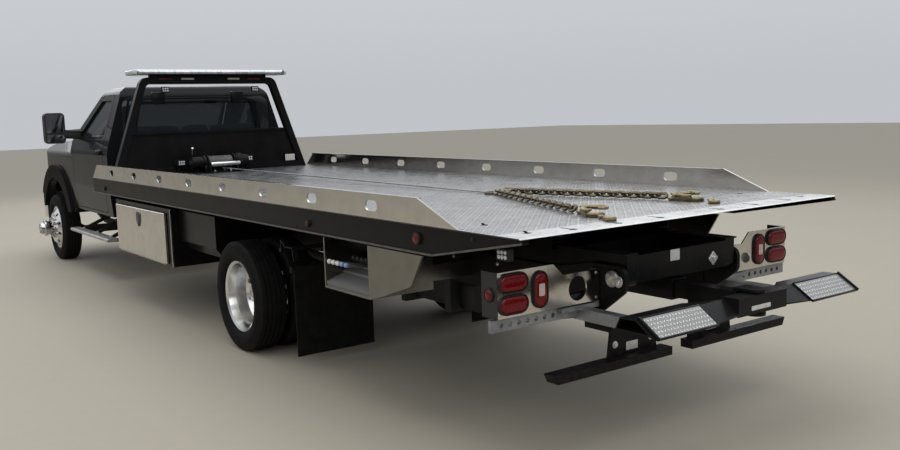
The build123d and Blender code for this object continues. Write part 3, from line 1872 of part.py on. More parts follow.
# Winch rope and chain bridle, taut on the deck: rope to the ring, a leg of interlinked chain to
# each side, and a claw hook with a grab hook behind it at the end of each leg

rope_radius = 6
link_wire = 13
link_pitch = 46
link_outer_width = 46
link_corner = 14
ring_radius = 48
ring_wire = 16
ring_x = 60
ring_y = 1775
# The legs' ends at the claw hooks' eyes, and the deck's slots that the end hooks sit in
leg_ends = [(-395, 470, -540), (430, 560, 240)]
hook_wall = 16
chain_z = deck_top + 26


def link_outline(length, width, corner):
    """The eight corners of a rounded link's edge, with its length along X."""
    x = length / 2
    y = width / 2
    return [
        (-x, -y + corner), (-x + corner, -y), (x - corner, -y), (x, -y + corner),
        (x, y - corner), (x - corner, y), (-x + corner, y), (-x, y - corner),
    ]


def chain_link():
    """One link, lying flat at the origin with its length along X."""
    outer = outline(link_outline(link_pitch + 2 * link_wire - 0.8, link_outer_width, link_corner))
    inner_width = link_outer_width - 2 * link_wire
    inner = outline(link_outline(link_pitch - 0.8, inner_width, link_corner / 2))
    return extrude(outer - inner, link_wire / 2, both=True)


def chain_leg(start, end):
    """Links along a line on the deck, turned a quarter from one to the next, and resting on edge."""
    run = Vector(*end) - Vector(*start)
    count = round(run.length / link_pitch)
    link = chain_link()
    links = []
    for number in range(count):
        place = Vector(*start) + run * ((number + 0.5) / count)
        lean = 45 if number % 2 == 0 else -45
        line = Plane(origin=place, x_dir=run, z_dir=(0, 0, 1))
        links.append(line * Rot(lean, 0, 0) * link)
    return links


hook_width = 28
hook_bend_radius = 38
hook_eye_radius = 20


def claw_hook(eye_x, eye_y, heading, scale):
    """A forged hook that lies on its side: a shank to a round bend, with a hole for the last link."""
    bend_x, bend_y = 136 * scale, 12 * scale
    radius = hook_bend_radius * scale
    bend = CenterArc((bend_x, bend_y), radius, 215, 235)
    shank = Line((0, 0), bend @ 0)
    face = trace(shank, hook_width * scale) + trace(bend, hook_width * scale)
    face += Circle(hook_eye_radius * scale) - Circle(hook_eye_radius * scale / 2)
    face -= Circle(hook_eye_radius * scale / 2)
    place = Plane(origin=(eye_x, eye_y, deck_top + 1), x_dir=heading, z_dir=(0, 0, 1))
    return place * extrude(face, hook_wall)


def ring():
    section = Pos(ring_radius, 0) * RegularPolygon(ring_wire / 2, 8)
    return Pos(ring_x, ring_y, deck_top + ring_wire / 2 + 1) * revolve(Plane.XZ * section, Axis.Z)


def bridle_chain():
    solids = [ring()]
    for end_x, end_y, slot_x in leg_ends:
        side = 1 if end_x > 0 else -1
        start = (ring_x + side * link_pitch * 0.75, ring_y - ring_radius - 34, chain_z)
        solids += chain_leg(start, (end_x, end_y + link_pitch, chain_z))
        run = Vector(end_x - start[0], end_y - start[1], 0).normalized()
        solids.append(claw_hook(end_x, end_y, run, 1))
        tail = Vector(end_x, end_y, 0) + run * 235
        to_slot = Vector(slot_x, key_slots[0][1], 0) - tail
        solids.append(claw_hook(tail.X, tail.Y, to_slot, 0.62))
    return solids


def winch_rope():
    rope_start = (winch_x, winch_y - 90, drum_z - 60)
    rope_end = (ring_x, ring_y + ring_radius + ring_wire / 2 + 2, deck_top + ring_wire / 2 + 1)
    return bar(rope_start, rope_end, rope_radius)


write("winch_rope", winch_rope())
write("bridle_chain", *bridle_chain())


# Wheel lift: a square boom on a pin, a sliding inner boom and the crossbar on its swivel

def lift_boom():
    outer = block((-boom_half, boom_half), (150, boom_pin_y - 40), (boom_z - boom_half, boom_z + boom_half))
    bore = boom_half - boom_wall
    outer -= block((-bore, bore), (140, boom_pin_y - 60), (boom_z - bore, boom_z + bore))
    eye = block((-40, 40), (boom_pin_y - 62, boom_pin_y), (boom_z - 38, boom_z + 38))
    eye += bar((-40, boom_pin_y, boom_z), (40, boom_pin_y, boom_z), 38)
    eye -= bar(
        (-60, boom_pin_y, boom_z), (60, boom_pin_y, boom_z), boom_pin_radius + running_fit
    )
    return outer + eye


ear_wall = 14
ear_half = 50
ear_back_y = crossbar_y + crossbar_half_depth + 28


def lift_stinger():
    inner = block(
        (-stinger_half, stinger_half),
        (ear_back_y + 5, boom_pin_y - 100),
        (boom_z - stinger_half, boom_z + stinger_half),
    )
    ear_outer = crossbar_half_height + clearance + ear_wall
    for z in (boom_z - ear_outer, boom_z + crossbar_half_height + clearance):
        inner += block((-ear_half, ear_half), (crossbar_y, ear_back_y + 20), (z, z + ear_wall))
        inner += bar((0, crossbar_y, z), (0, crossbar_y, z + ear_wall), ear_half)
    inner += block(
        (-ear_half, ear_half), (ear_back_y, ear_back_y + 20), (boom_z - ear_outer, boom_z + ear_outer)
    )
    return inner + bar(
        (0, crossbar_y, boom_z - ear_outer), (0, crossbar_y, boom_z + ear_outer), swivel_radius
    )


# The wedge's section behind and ahead of the crossbar's middle, from its low rear edge round
wing_low_z = boom_z - 35
wing_high_z = boom_z + 31
wing_points = [
    (crossbar_y - 71, wing_low_z - 10),
    (crossbar_y + 44, wing_high_z),
    (crossbar_y + 138, wing_high_z - 4),
    (crossbar_y + 170, wing_low_z),
    (crossbar_y - 40, wing_low_z),
]
wing_x = (372, crossbar_half_length)
wing_wall = 8
step_wall = 5
step_x = (wing_x[0] + 6, wing_x[1] - 22)


def crossbar():
    depth = (crossbar_y - crossbar_half_depth, crossbar_y + crossbar_half_depth)
    height = (boom_z - crossbar_half_height, boom_z + crossbar_half_height)
    beam = block((-190, 190), depth, height)
    bore = crossbar_half_height - 10
    for side in (-1, 1):
        plan = [
            (side * 180, depth[0]),
            (side * wing_x[0], depth[0] - 20),
            (side * (wing_x[0] + 60), depth[0] - 20),
            (side * (wing_x[0] + 60), depth[1] + 85),
            (side * wing_x[0], depth[1] + 85),
            (side * 180, depth[1]),
        ]
        if side < 0:
            plan.reverse()
        neck = prism("Z", plan, wing_low_z - 10, wing_high_z)
        neck &= prism("X", wing_points, -crossbar_half_length, crossbar_half_length)
        beam += neck
        near, far = sorted((side * wing_x[0], side * wing_x[1]))
        wing = prism("X", wing_points, near, far)
        hollow_low, hollow_high = sorted((side * (wing_x[0] + wing_wall), side * (wing_x[1] + 5)))
        hollow_face = offset(outline(wing_points), -wing_wall, kind=Kind.INTERSECTION)
        beam += wing - extrude_along("X", hollow_face, hollow_low, hollow_high)
        beam -= block(
            sorted((side * 60, side * 178)),
            (crossbar_y - bore, crossbar_y + bore),
            (boom_z - bore, boom_z + bore),
        )
    beam -= bar(
        (0, crossbar_y, boom_z - 70), (0, crossbar_y, boom_z + 70), swivel_radius + running_fit
    )
    return beam


def step_plate():
    """A chequered plate that lies on the wing's slope."""
    (low_y, low_z), (high_y, high_z) = wing_points[:2]
    slope = Vector(high_y - low_y, high_z - low_z).normalized()
    up = Vector(-slope.Y, slope.X) * step_wall
    start = Vector(low_y, low_z) + slope * 6
    end = Vector(high_y, high_z) - slope * 6
    corners = [(corner.X, corner.Y) for corner in (start, end, end + up, start + up)]
    return prism("X", corners, *step_x)


write("lift_boom", lift_boom())
write("lift_stinger", lift_stinger())
write("lift_crossbar", crossbar())
write("step_plates", *both(step_plate()))
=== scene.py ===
from math import cos, pi, radians, sin

import bmesh
import bpy
from mathutils import Matrix, Vector


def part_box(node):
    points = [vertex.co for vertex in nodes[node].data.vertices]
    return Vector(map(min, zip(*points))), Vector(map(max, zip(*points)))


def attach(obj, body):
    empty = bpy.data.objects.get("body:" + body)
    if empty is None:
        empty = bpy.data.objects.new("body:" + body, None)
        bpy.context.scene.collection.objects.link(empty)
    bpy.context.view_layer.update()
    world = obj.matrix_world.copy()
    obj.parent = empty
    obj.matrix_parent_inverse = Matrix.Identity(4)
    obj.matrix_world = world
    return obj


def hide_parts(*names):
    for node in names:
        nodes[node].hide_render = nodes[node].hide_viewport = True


# The frame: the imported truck, standing on its wheels with its middle over the origin.
# Stations along the truck are measured forward from the rear edge of the bed's deck.
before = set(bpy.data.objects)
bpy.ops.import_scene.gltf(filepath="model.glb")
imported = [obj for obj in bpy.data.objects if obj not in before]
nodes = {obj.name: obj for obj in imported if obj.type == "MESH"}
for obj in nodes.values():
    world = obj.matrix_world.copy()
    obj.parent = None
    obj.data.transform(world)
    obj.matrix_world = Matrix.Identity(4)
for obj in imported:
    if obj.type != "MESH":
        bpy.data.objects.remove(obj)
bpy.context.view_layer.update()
bed_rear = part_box("deck")[0].y
deck_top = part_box("deck")[1].z
scene = bpy.context.scene
scene.view_settings.view_transform = "Standard"


# The camera stands behind the left rear corner at eye height, where the photograph was taken.
# Its turn, tilt and roll were fitted to the bed's edges, and the picture is 900 by 450 pixels.
picture_width = 900
focal_pixels = 910.971
camera_turn = radians(36.023)
camera_tilt = radians(-7.077)
camera_roll = radians(-1.725)
camera_place = Vector((-3.75042, bed_rear - 2.97039, 1.69482))

lens = bpy.data.cameras.new("camera")
lens.sensor_width = 36
lens.lens = focal_pixels / picture_width * lens.sensor_width
lens.clip_end = 200
camera = bpy.data.objects.new("camera", lens)
scene.collection.objects.link(camera)
looking = Vector((sin(camera_turn) * cos(camera_tilt), cos(camera_turn) * cos(camera_tilt),
                  sin(camera_tilt)))
level_right = Vector((cos(camera_turn), -sin(camera_turn), 0))
level_up = level_right.cross(looking)
camera_right = level_right * cos(camera_roll) + level_up * sin(camera_roll)
camera_up = level_up * cos(camera_roll) - level_right * sin(camera_roll)
turn = Matrix((camera_right, camera_up, -looking)).transposed().to_4x4()
camera.matrix_world = Matrix.Translation(camera_place) @ turn
scene.camera = camera


# Floor: plain pale tan concrete, whose warm colour is what the polished steel shows. Its finish is
# one material. A wire is one value in it, and sums on wires add the Math nodes that they need.
def sum_of(operation, turned=False):
    def made(self, *others):
        values = (*others, self) if turned else (self, *others)
        return self.finish.node("Math", {"operation": operation}, *values)
    return made


class Wire:
    def __init__(self, finish, socket):
        self.finish = finish
        self.socket = socket

    __add__ = __radd__ = sum_of("ADD")
    __mul__ = __rmul__ = sum_of("MULTIPLY")
    __sub__ = sum_of("SUBTRACT")
    __rsub__ = sum_of("SUBTRACT", turned=True)
    __truediv__ = sum_of("DIVIDE")
    __mod__ = sum_of("FLOORED_MODULO")
    __gt__ = sum_of("GREATER_THAN")
    __lt__ = sum_of("LESS_THAN")
    __abs__ = sum_of("ABSOLUTE")
    power = sum_of("POWER")
    floor = sum_of("FLOOR")
    most = sum_of("MAXIMUM")
    least = sum_of("MINIMUM")

    def within(self, low, high, start=0.0, end=1.0, smooth=False):
        """This value carried from low..high to start..end, and held there."""
        kind = "SMOOTHSTEP" if smooth else "LINEAR"
        return self.finish.node("MapRange", {"interpolation_type": kind}, self, low, high, start, end)


class Finish:
    def __init__(self, name, **settings):
        self.material = bpy.data.materials.new(name)
        self.material.use_nodes = True
        self.tree = self.material.node_tree
        self.shader = self.tree.nodes["Principled BSDF"]
        self.at = self.node("TexCoord", {}, give="Object")
        for socket_name, value in settings.items():
            self.set(socket_name, value)

    def fill(self, socket, value):
        if isinstance(value, Wire):
            self.tree.links.new(value.socket, socket)
        elif isinstance(value, tuple) and socket.type == "RGBA":
            socket.default_value = (*value, 1)[:4]
        else:
            socket.default_value = value

    def node(self, kind, settings, *values, give=0, **named):
        made = self.tree.nodes.new("ShaderNode" + kind)
        for key, value in settings.items():
            setattr(made, key, value)
        for socket, value in zip(made.inputs, values):
            self.fill(socket, value)
        for key, value in named.items():
            self.fill(made.inputs[key.replace("_", " ")], value)
        return Wire(self, made.outputs[give])

    def set(self, socket_name, value):
        self.fill(self.shader.inputs[socket_name.replace("_", " ")], value)

    def look(self, colour, roughness, height=None, distance=0.0, strength=1.0, edges=None):
        """What changes over the surface: its colour, its gloss, and its relief over rounded edges."""
        self.set("Base Color", colour)
        self.set("Roughness", roughness)
        if height:
            rounded = self.soft_edges(edges) if edges else None
            self.set("Normal", self.bump(height, distance, strength, rounded))

    def fed(self, socket_name):
        """The wire that feeds a socket now."""
        return Wire(self, self.shader.inputs[socket_name].links[0].from_socket)

    def axis(self, name, at=None):
        return self.node("SeparateXYZ", {}, at or self.at, give=name)

    def placed(self, scale):
        return self.node("Mapping", {}, self.at, Scale=scale)

    def noise(self, scale, detail=3.0, roughness=0.55, at=None):
        at = at or self.at
        return self.node("TexNoise", {}, Vector=at, Scale=scale, Detail=detail, Roughness=roughness)

    def cells(self, scale, give="Distance"):
        return self.node("TexVoronoi", {}, give=give, Vector=self.at, Scale=scale)

    def mix(self, share, first, second):
        made = self.tree.nodes.new("ShaderNodeMix")
        made.data_type = "RGBA"
        for index, value in ((0, share), (6, first), (7, second)):
            self.fill(made.inputs[index], value)
        return Wire(self, made.outputs[2])

    def bump(self, height, distance, strength, over):
        under = {"Normal": over} if over else {}
        return self.node("Bump", {}, Height=height, Distance=distance, Strength=strength, **under)

    def soft_edges(self, radius):
        return self.node("Bevel", {"samples": 4}, radius)


def dress(finish, *names):
    """Gives CAD nodes a material."""
    for name in names:
        materials = nodes[name].data.materials
        materials.clear()
        materials.append(finish.material)


def dimmed(colour, share):
    return tuple(share * part for part in colour)


floor_colour = (0.41, 0.372, 0.3)
floor_half = 60
ground = Finish("pale_ground", Roughness=0.75)
blotches = ground.noise(0.6, 5) * 0.5 + ground.noise(9, 6) * 0.5
ground.set("Base Color", ground.mix(blotches, dimmed(floor_colour, 0.88), floor_colour))
floor_mesh = bpy.data.meshes.new("floor")
floor_shape = bmesh.new()
bmesh.ops.create_grid(floor_shape, x_segments=1, y_segments=1, size=floor_half)
floor_shape.to_mesh(floor_mesh)
floor = bpy.data.objects.new("floor", floor_mesh)
scene.collection.objects.link(floor)
floor_mesh.materials.append(ground.material)


# Sky and lamps: an even overcast sky, which is what the deck shows. Ahead of the camera it is pale
# down to the ground, and elsewhere a dim band lies along the horizon. Five soft lamps help it.
backdrop_colour = (0.66, 0.69, 0.73, 1)
dim_band_colour = (0.15, 0.158, 0.16, 1)
high_sky_colour = (0.93, 0.96, 1.0, 1)
sky_strength = 0.8
world = bpy.data.worlds.new("pale_sky")
scene.world = world
world.use_nodes = True
sky_tree = world.node_tree
sky = sky_tree.nodes["Background"]
sky.inputs["Strength"].default_value = sky_strength


def sky_node(kind, settings, *values, give=0):
    made = sky_tree.nodes.new("ShaderNode" + kind)
    for key, value in settings.items():
        setattr(made, key, value)
    for index, value in values:
        if isinstance(value, bpy.types.NodeSocket):
            sky_tree.links.new(value, made.inputs[index])
        else:
            made.inputs[index].default_value = value
    return made.outputs[give]


def sky_mix(share, first, second):
    return sky_node("Mix", {"data_type": "RGBA"}, (0, share), (6, first), (7, second), give=2)


direction = sky_node("TexCoord", {}, give="Generated")
climb = sky_node("SeparateXYZ", {}, (0, direction), give="Z")
ahead = sky_node("VectorMath", {"operation": "DOT_PRODUCT"}, (0, direction),
                 (1, (sin(camera_turn), cos(camera_turn), 0)), give="Value")
pale_share = sky_node("MapRange", {}, (0, ahead), (1, 0.72), (2, 0.88))
high_share = sky_node("MapRange", {}, (0, climb), (1, 0.03), (2, 0.4))
horizon = sky_mix(pale_share, dim_band_colour, backdrop_colour)
sky_tree.links.new(sky_mix(high_share, horizon, high_sky_colour), sky.inputs["Color"])

# Name, place, turn in degrees, size and power of each lamp
for lamp_name, place, tilt, size, power in (
    ("sky_panel", (0, 0, 10), (0, 0, 0), (10, 15), 560),
    ("left_panel", (-10, -4, 7), (0, -52, 0), (6, 12), 130),
    ("tail_panel_lamp", (-2, -13, 6), (58, 0, 0), (8, 5), 150),
    ("right_panel", (10, 2, 7), (0, 52, 0), (6, 12), 150),
    ("nose_panel", (1, 13, 6), (-58, 0, 0), (8, 5), 140),
):
    lamp_data = bpy.data.lights.new(lamp_name, "AREA")
    lamp_data.shape = "RECTANGLE"
    lamp_data.size, lamp_data.size_y = size
    lamp_data.energy = power
    lamp = bpy.data.objects.new(lamp_name, lamp_data)
    lamp.location = place
    lamp.rotation_euler = [radians(angle) for angle in tilt]
    scene.collection.objects.link(lamp)


# Chassis: two channel rails, cross members and hinge plates of pressed steel, riveted together
# and sprayed with a satin black chassis paint that has road dust on it low down.
def chassis_black():
    paint = Finish("chassis_black", Metallic=0.0, IOR=1.5, Specular_IOR_Level=0.14)
    speckle = paint.noise(38, 5)
    low = paint.axis("Z").within(0.15, 1.0, 1.0, 0.0)
    settled = speckle.within(0.45, 0.75) * low * 0.5
    paint.look(paint.mix(settled, (0.005, 0.005, 0.0055), (0.06, 0.055, 0.047)),
               speckle.within(0.3, 0.7, 0.34, 0.52) + settled * 0.35,
               paint.noise(420, 2), 0.0004, 0.35, edges=0.003)
    return paint


dress(chassis_black(), "frame_rails", "frame_members", "flap_hangers", "rear_guard")


# Pins, nuts and bolt heads of the chassis: zinc-plated, the hinge pins with a round cap on a square
# keeper. Each piece is drawn from a few forms in one mesh, and its places are in millimetres:
# x to the right, y forward from the deck's rear edge, and z up from the ground.
def at(x, y, z):
    return Vector((x / 1000, y / 1000 + bed_rear, z / 1000))


def fixed(name, shape, finish, body):
    """Makes a drawn shape an object that rides on a body."""
    mesh = bpy.data.meshes.new(name)
    shape.to_mesh(mesh)
    shape.free()
    mesh.shade_smooth()
    mesh.materials.append(finish.material)
    made = bpy.data.objects.new(name, mesh)
    scene.collection.objects.link(made)
    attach(made, body)
    return made


class Piece:
    def __init__(self, name):
        self.name = name
        self.shape = bmesh.new()

    def block(self, first, second, bevel=0.0, turn=Matrix()):
        """A box between two corners, with rounded edges."""
        first, second = at(*first), at(*second)
        size = [abs(part) for part in second - first]
        place = Matrix.Translation((first + second) / 2) @ turn @ Matrix.Diagonal((*size, 1))
        corners = bmesh.ops.create_cube(self.shape, size=1, matrix=place)["verts"]
        if bevel:
            edges = list({edge for corner in corners for edge in corner.link_edges})
            bmesh.ops.bevel(self.shape, geom=edges, offset=bevel / 1000, affect="EDGES", segments=2,
                            profile=0.5, material=-1)
        return self

    def rod(self, start, end, radius, end_radius=None, steps=16):
        start, end = at(*start), at(*end)
        run = end - start
        place = Matrix.Translation((start + end) / 2) @ run.to_track_quat("Z", "Y").to_matrix().to_4x4()
        tip = radius if end_radius is None else end_radius
        bmesh.ops.create_cone(self.shape, cap_ends=True, segments=steps, radius1=radius / 1000,
                              radius2=tip / 1000, depth=run.length, matrix=place)

    def turned(self, centre, axis, profile, steps=32):
        """A profile of (along, radius) points spun about an axis through the centre."""
        centre, axis = at(*centre), Vector(axis).normalized()
        side = axis.orthogonal().normalized()
        corners = [self.shape.verts.new(centre + axis * along / 1000 + side * radius / 1000)
                   for along, radius in profile]
        edges = [self.shape.edges.new(pair) for pair in zip(corners, corners[1:])]
        bmesh.ops.spin(self.shape, geom=corners + edges, cent=centre, axis=axis, angle=2 * pi, steps=steps,
                       use_merge=True)
        return self

    def rings(self, centre, right, up, loops, cap=True):
        """Rounded outlines of (width, height, corner radius, proud) joined one to the next."""
        centre, right, up = at(*centre), Vector(right), Vector(up)
        out = right.cross(up)
        last = None
        for width, height, radius, proud in loops:
            points = []
            for quarter, (sx, sy) in enumerate(((1, 1), (-1, 1), (-1, -1), (1, -1))):
                for step in range(5):
                    angle = pi / 2 * (quarter + step / 4)
                    x = sx * (width / 2 - radius) + radius * cos(angle)
                    y = sy * (height / 2 - radius) + radius * sin(angle)
                    points.append(self.shape.verts.new(centre + (right * x + up * y + out * proud) / 1000))
            if last:
                for index, point in enumerate(points):
                    after = (index + 1) % len(points)
                    self.shape.faces.new((last[index], last[after], points[after], point))
            last = points
        if cap:
            self.shape.faces.new(last)
        return self

    def hexagon(self, centre, axis, radius, height, washer=1.45):
        """A nut or bolt head on its washer, with a chamfered top."""
        centre, axis = Vector(centre), Vector(axis)
        seat = centre + axis * height * 0.2
        shoulder = centre + axis * height * 0.85
        self.rod(centre, seat, radius * washer, steps=20)
        self.rod(seat, shoulder, radius, steps=6)
        self.rod(shoulder, centre + axis * height, radius, radius * 0.8, steps=6)

    def done(self, finish, body, slot, *replaced):
        bmesh.ops.remove_doubles(self.shape, verts=self.shape.verts, dist=0.00001)
        bmesh.ops.recalc_face_normals(self.shape, faces=self.shape.faces)
        made = fixed(self.name, self.shape, finish, body)
        made.data.set_sharp_from_angle(angle=radians(38))
        if replaced:
            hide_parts(*replaced)


def galvanised(name="galvanised", colour=(0.36, 0.37, 0.37), spangle=55, gloss=0.38):
    zinc = Finish(name, Metallic=0.85)
    patch = zinc.axis("X", at=zinc.cells(spangle, give="Color"))
    stain = zinc.noise(8, 5).within(0.4, 0.75)
    zinc.look(zinc.mix(stain * 0.5, zinc.mix(patch, colour, dimmed(colour, 1.25)), dimmed(colour, 0.5)),
              patch * 0.1 + stain * 0.2 + gloss, zinc.noise(150, 4), 0.0005, 0.3, edges=0.002)
    return zinc


sides = (("left", -1), ("right", 1))
X, Y, Z = (1, 0, 0), (0, 1, 0), (0, 0, 1)
panel_face_y = 277
hinge_pin_z = 843
bright_zinc = galvanised("bright_zinc", (0.62, 0.62, 0.6), 120, 0.24)
frame_bolts = Piece("frame_bolts")
for side in (-1, 1):
    frame_bolts.hexagon((side * 505, 105, hinge_pin_z), (side, 0, 0), 20, 16)
    frame_bolts.turned((side * 465, 180, hinge_pin_z), (side, 0, 0), [(0, 42), (10, 42), (16, 34), (18, 0)])
    for x, z in ((1112, 926), (1112, 740), (800, 926), (484, 740), (484, 866)):
        frame_bolts.turned((side * x, panel_face_y, z), (0, -1, 0), [(0, 8), (3, 7), (5, 0)], 16)
    for x, z in ((178, 500), (442, 500), (310, 560)):
        frame_bolts.hexagon((side * x, 190, z), (0, -1, 0), 13, 12)
    for y in range(700, 9300, 430):
        for z in (690, 805):
            frame_bolts.turned((side * 432, y, z), (side, 0, 0), [(0, 13), (5, 12), (9, 7), (10, 0)], 12)
frame_bolts.done(bright_zinc, "chassis", "galvanised")


# Axles, springs and the driveline: cast and forged parts with a rough skin, painted black at
# the works and dulled by road dirt. The springs' leaves show their mill scale.
def rough_casting(name, colour, dirt):
    casting = Finish(name, Metallic=0.25)
    grain = casting.noise(95, 6, 0.7)
    casting.look(casting.mix(casting.noise(7, 4).within(0.4, 0.7), colour, dirt),
                 grain.within(0.3, 0.7, 0.55, 0.85), grain, 0.0016, 0.6, edges=0.004)
    return casting


dress(rough_casting("axle_casting", (0.022, 0.021, 0.021), (0.075, 0.064, 0.05)),
      "rear_axle", "front_axle", "knuckle_left", "knuckle_right", "leaf_springs")
dress(rough_casting("engine_casting", (0.05, 0.05, 0.052), (0.1, 0.085, 0.07)), "powertrain")


# Fuel tank and exhaust: a moulded black tank on steel straps, and a pipe and silencer of
# aluminised steel that has gone straw-brown where it runs hot.
def moulded_black(name="moulded_black", colour=(0.016, 0.016, 0.017), rough=0.5, grain_scale=900):
    plastic = Finish(name, IOR=1.46)
    grain = plastic.noise(grain_scale, 2)
    plastic.look(plastic.mix(plastic.noise(5, 4), colour, dimmed(colour, 1.6)),
                 grain.within(0.35, 0.65, rough - 0.06, rough + 0.08), grain, 0.0003, 0.5, edges=0.003)
    return plastic


def heated_pipe():
    pipe = Finish("aluminised_pipe", Metallic=0.9)
    stain = pipe.noise(6, 5)
    pipe.look(pipe.mix(stain.within(0.35, 0.7), (0.34, 0.33, 0.31), (0.2, 0.14, 0.08)),
              stain.within(0.3, 0.8, 0.35, 0.6), pipe.noise(60, 4), 0.0008, 0.3)
    return pipe


black_plastic = moulded_black()
dress(black_plastic, "fuel_tank")
dress(heated_pipe(), "exhaust")


# Tyres and flaps: black rubber that has greyed a little, with a film of road dust, and ribbed
# rubber for the mud flaps. The tyres have four ribs between square-edged grooves, cut across by
# sipes, shoulder lugs, and fine raised rings on the sidewalls. Each replaces its CAD solid.
def rubber(name="tyre_rubber", colour=(0.018, 0.0175, 0.017), dust=0.5):
    compound = Finish(name, IOR=1.45, Specular_IOR_Level=0.12)
    film = compound.noise(14, 6).within(0.35, 0.75) * dust
    compound.look(compound.mix(film, colour, (0.075, 0.07, 0.062)), film * 0.3 + 0.62,
                  compound.noise(300, 3), 0.0005, 0.4)
    return compound


def tread_rubber(name, axle_y):
    compound = Finish(name, IOR=1.45, Specular_IOR_Level=0.12)
    y = compound.axis("Y") - (axle_y / 1000 + bed_rear)
    z = compound.axis("Z") - wheel_radius / 1000
    angle = compound.node("Math", {"operation": "ARCTAN2"}, z, y) / (2 * pi)
    radius = (y * y + z * z).power(0.5)
    x = abs(compound.axis("X"))
    sipe = abs((angle * 84.0 + x * 9.0) % 1.0 - 0.5) < 0.09
    on_tread = radius > 0.386
    shoulder = (radius > 0.362) * (radius < 0.39)
    lug = abs((angle * 42.0) % 1.0 - 0.5) < 0.13
    rings = abs((radius / 0.0045) % 1.0 - 0.5) * (radius > 0.318) * (radius < 0.338)
    height = 1.0 - sipe * on_tread * 0.9 - lug * shoulder * 0.8 + rings * 0.2
    film = compound.noise(14, 6).within(0.35, 0.75)
    dust = film * 0.25 + on_tread * 0.15
    compound.look(compound.mix(dust, (0.0045, 0.0045, 0.0047), (0.03, 0.028, 0.026)), film * 0.2 + 0.6,
                  height, 0.004, 0.8)
    return compound


dress(rubber(), "front_tyre_left", "front_tyre_right", "rear_tyres_left", "rear_tyres_right")
dress(rubber("flap_rubber", (0.006, 0.006, 0.0062), 0.12), "mud_flaps")
wheel_radius = 405
front_axle_y = 9150
rear_axle_y = 3235
groove_bottom = 394
sidewall = [(-69, 247), (-76, 262), (-92, 268), (-103, 284), (-110, 306), (-112, 325), (-111, 345),
            (-109, 352), (-107, 352), (-104, 376), (-97, 393), (-86, 403)]
tyre_profile = list(sidewall)
for groove in (-54, -18, 18, 54):
    tyre_profile += [(groove - 5, wheel_radius), (groove - 4, groove_bottom),
                     (groove + 4, groove_bottom), (groove + 5, wheel_radius)]
tyre_profile += [(-along, radius) for along, radius in reversed(sidewall)]
tyre_profile.append(tyre_profile[0])
for axle_name, axle_y, node, wheel_x in (("front", front_axle_y, "front_tyre", (950,)),
                                         ("rear", rear_axle_y, "rear_tyres", (810, 1070))):
    tread = tread_rubber(axle_name + "_tread_rubber", axle_y)
    for side_name, side in sides:
        tyre = Piece(f"{axle_name}_tyre_mesh_{side_name}")
        for x in wheel_x:
            tyre.turned((side * x, axle_y, wheel_radius), X, tyre_profile, 72)
        tyre.done(tread, f"wheel_{axle_name[0]}{side_name[0]}", "tyre_rubber", f"{node}_{side_name}")


# Wheels: forged alloy discs polished to a mirror, ten chromed nuts round each, the hub's bolted
# flange and its domed cap. The front ones have a stepped chrome drum over the hub, which stands
# well out of the wheel. Each metal has the faint lines of the wheel that polished it.
def polished_stainless(name="polished_stainless", colour=(0.66, 0.635, 0.59), rough=0.1,
                       grain_axis=(3, 0.15, 3), waves=0.14):
    steel = Finish(name, Metallic=1.0)
    lines = steel.noise(260, 3, at=steel.placed(grain_axis))
    smear = steel.noise(11, 5)
    steel.look(steel.mix(smear.within(0.35, 0.75), colour, dimmed(colour, 0.86)),
               lines.within(0.3, 0.7, rough, rough + 0.07) + smear.within(0.4, 0.8) * 0.05)
    wavy = steel.bump(steel.noise(4.5, 2), 0.004, waves, steel.soft_edges(0.0015))
    steel.set("Normal", steel.bump(lines, 0.0001, 0.15, wavy))
    return steel


chrome_colour = (0.72, 0.72, 0.72)
wheel_alloy = polished_stainless("polished_alloy", (0.8, 0.795, 0.78), 0.17, (3, 3, 3), 0.03)
chrome = polished_stainless("chrome_plate", chrome_colour, 0.03, (2, 2, 2), 0.04)
dress(wheel_alloy, "front_rim_left", "front_rim_right", "rear_rims_left", "rear_rims_right")
nut_circle = 112.5
flange_circle = 51
hub_drum = [(0, 84), (96, 84), (100, 96), (128, 96), (134, 88), (134, 70), (170, 68), (176, 60)]
hub_cap = [(-3, 40), (4, 38), (9, 30), (11, 14), (12, 0)]


def round_wheel(axle_y, radius, count, start=0.0):
    """Places, as y and z, spaced evenly round a wheel's centre."""
    for number in range(count):
        angle = 2 * pi * (number + start) / count
        yield axle_y + radius * cos(angle), wheel_radius + radius * sin(angle)


for axle_name, axle_y, nut_x, cap_x in (("front", front_axle_y, 1080, 1246),
                                        ("rear", rear_axle_y, 952, 1050)):
    for side_name, side in sides:
        hub = Piece(f"{axle_name}_hub_trim_{side_name}")
        out = (side, 0, 0)
        for y, z in round_wheel(axle_y, nut_circle, 10):
            hub.hexagon((side * nut_x, y, z), out, 18, 30, 1.25)
            hub.rod((side * (nut_x + 28), y, z), (side * (nut_x + 38), y, z), 10, steps=12)
        for y, z in round_wheel(axle_y, flange_circle, 8, 0.5):
            hub.hexagon((side * (cap_x - 4), y, z), out, 6, 12)
        if axle_name == "front":
            hub.turned((side * 1070, axle_y, wheel_radius), out, hub_drum, 40)
        hub.turned((side * cap_x, axle_y, wheel_radius), out, hub_cap)
        valve_y = axle_y + 208
        hub.rod((side * (nut_x - 8), valve_y, 420), (side * (nut_x + 24), valve_y + 6, 424), 4, steps=10)
        hub.done(chrome, f"wheel_{axle_name[0]}{side_name[0]}", "chrome")


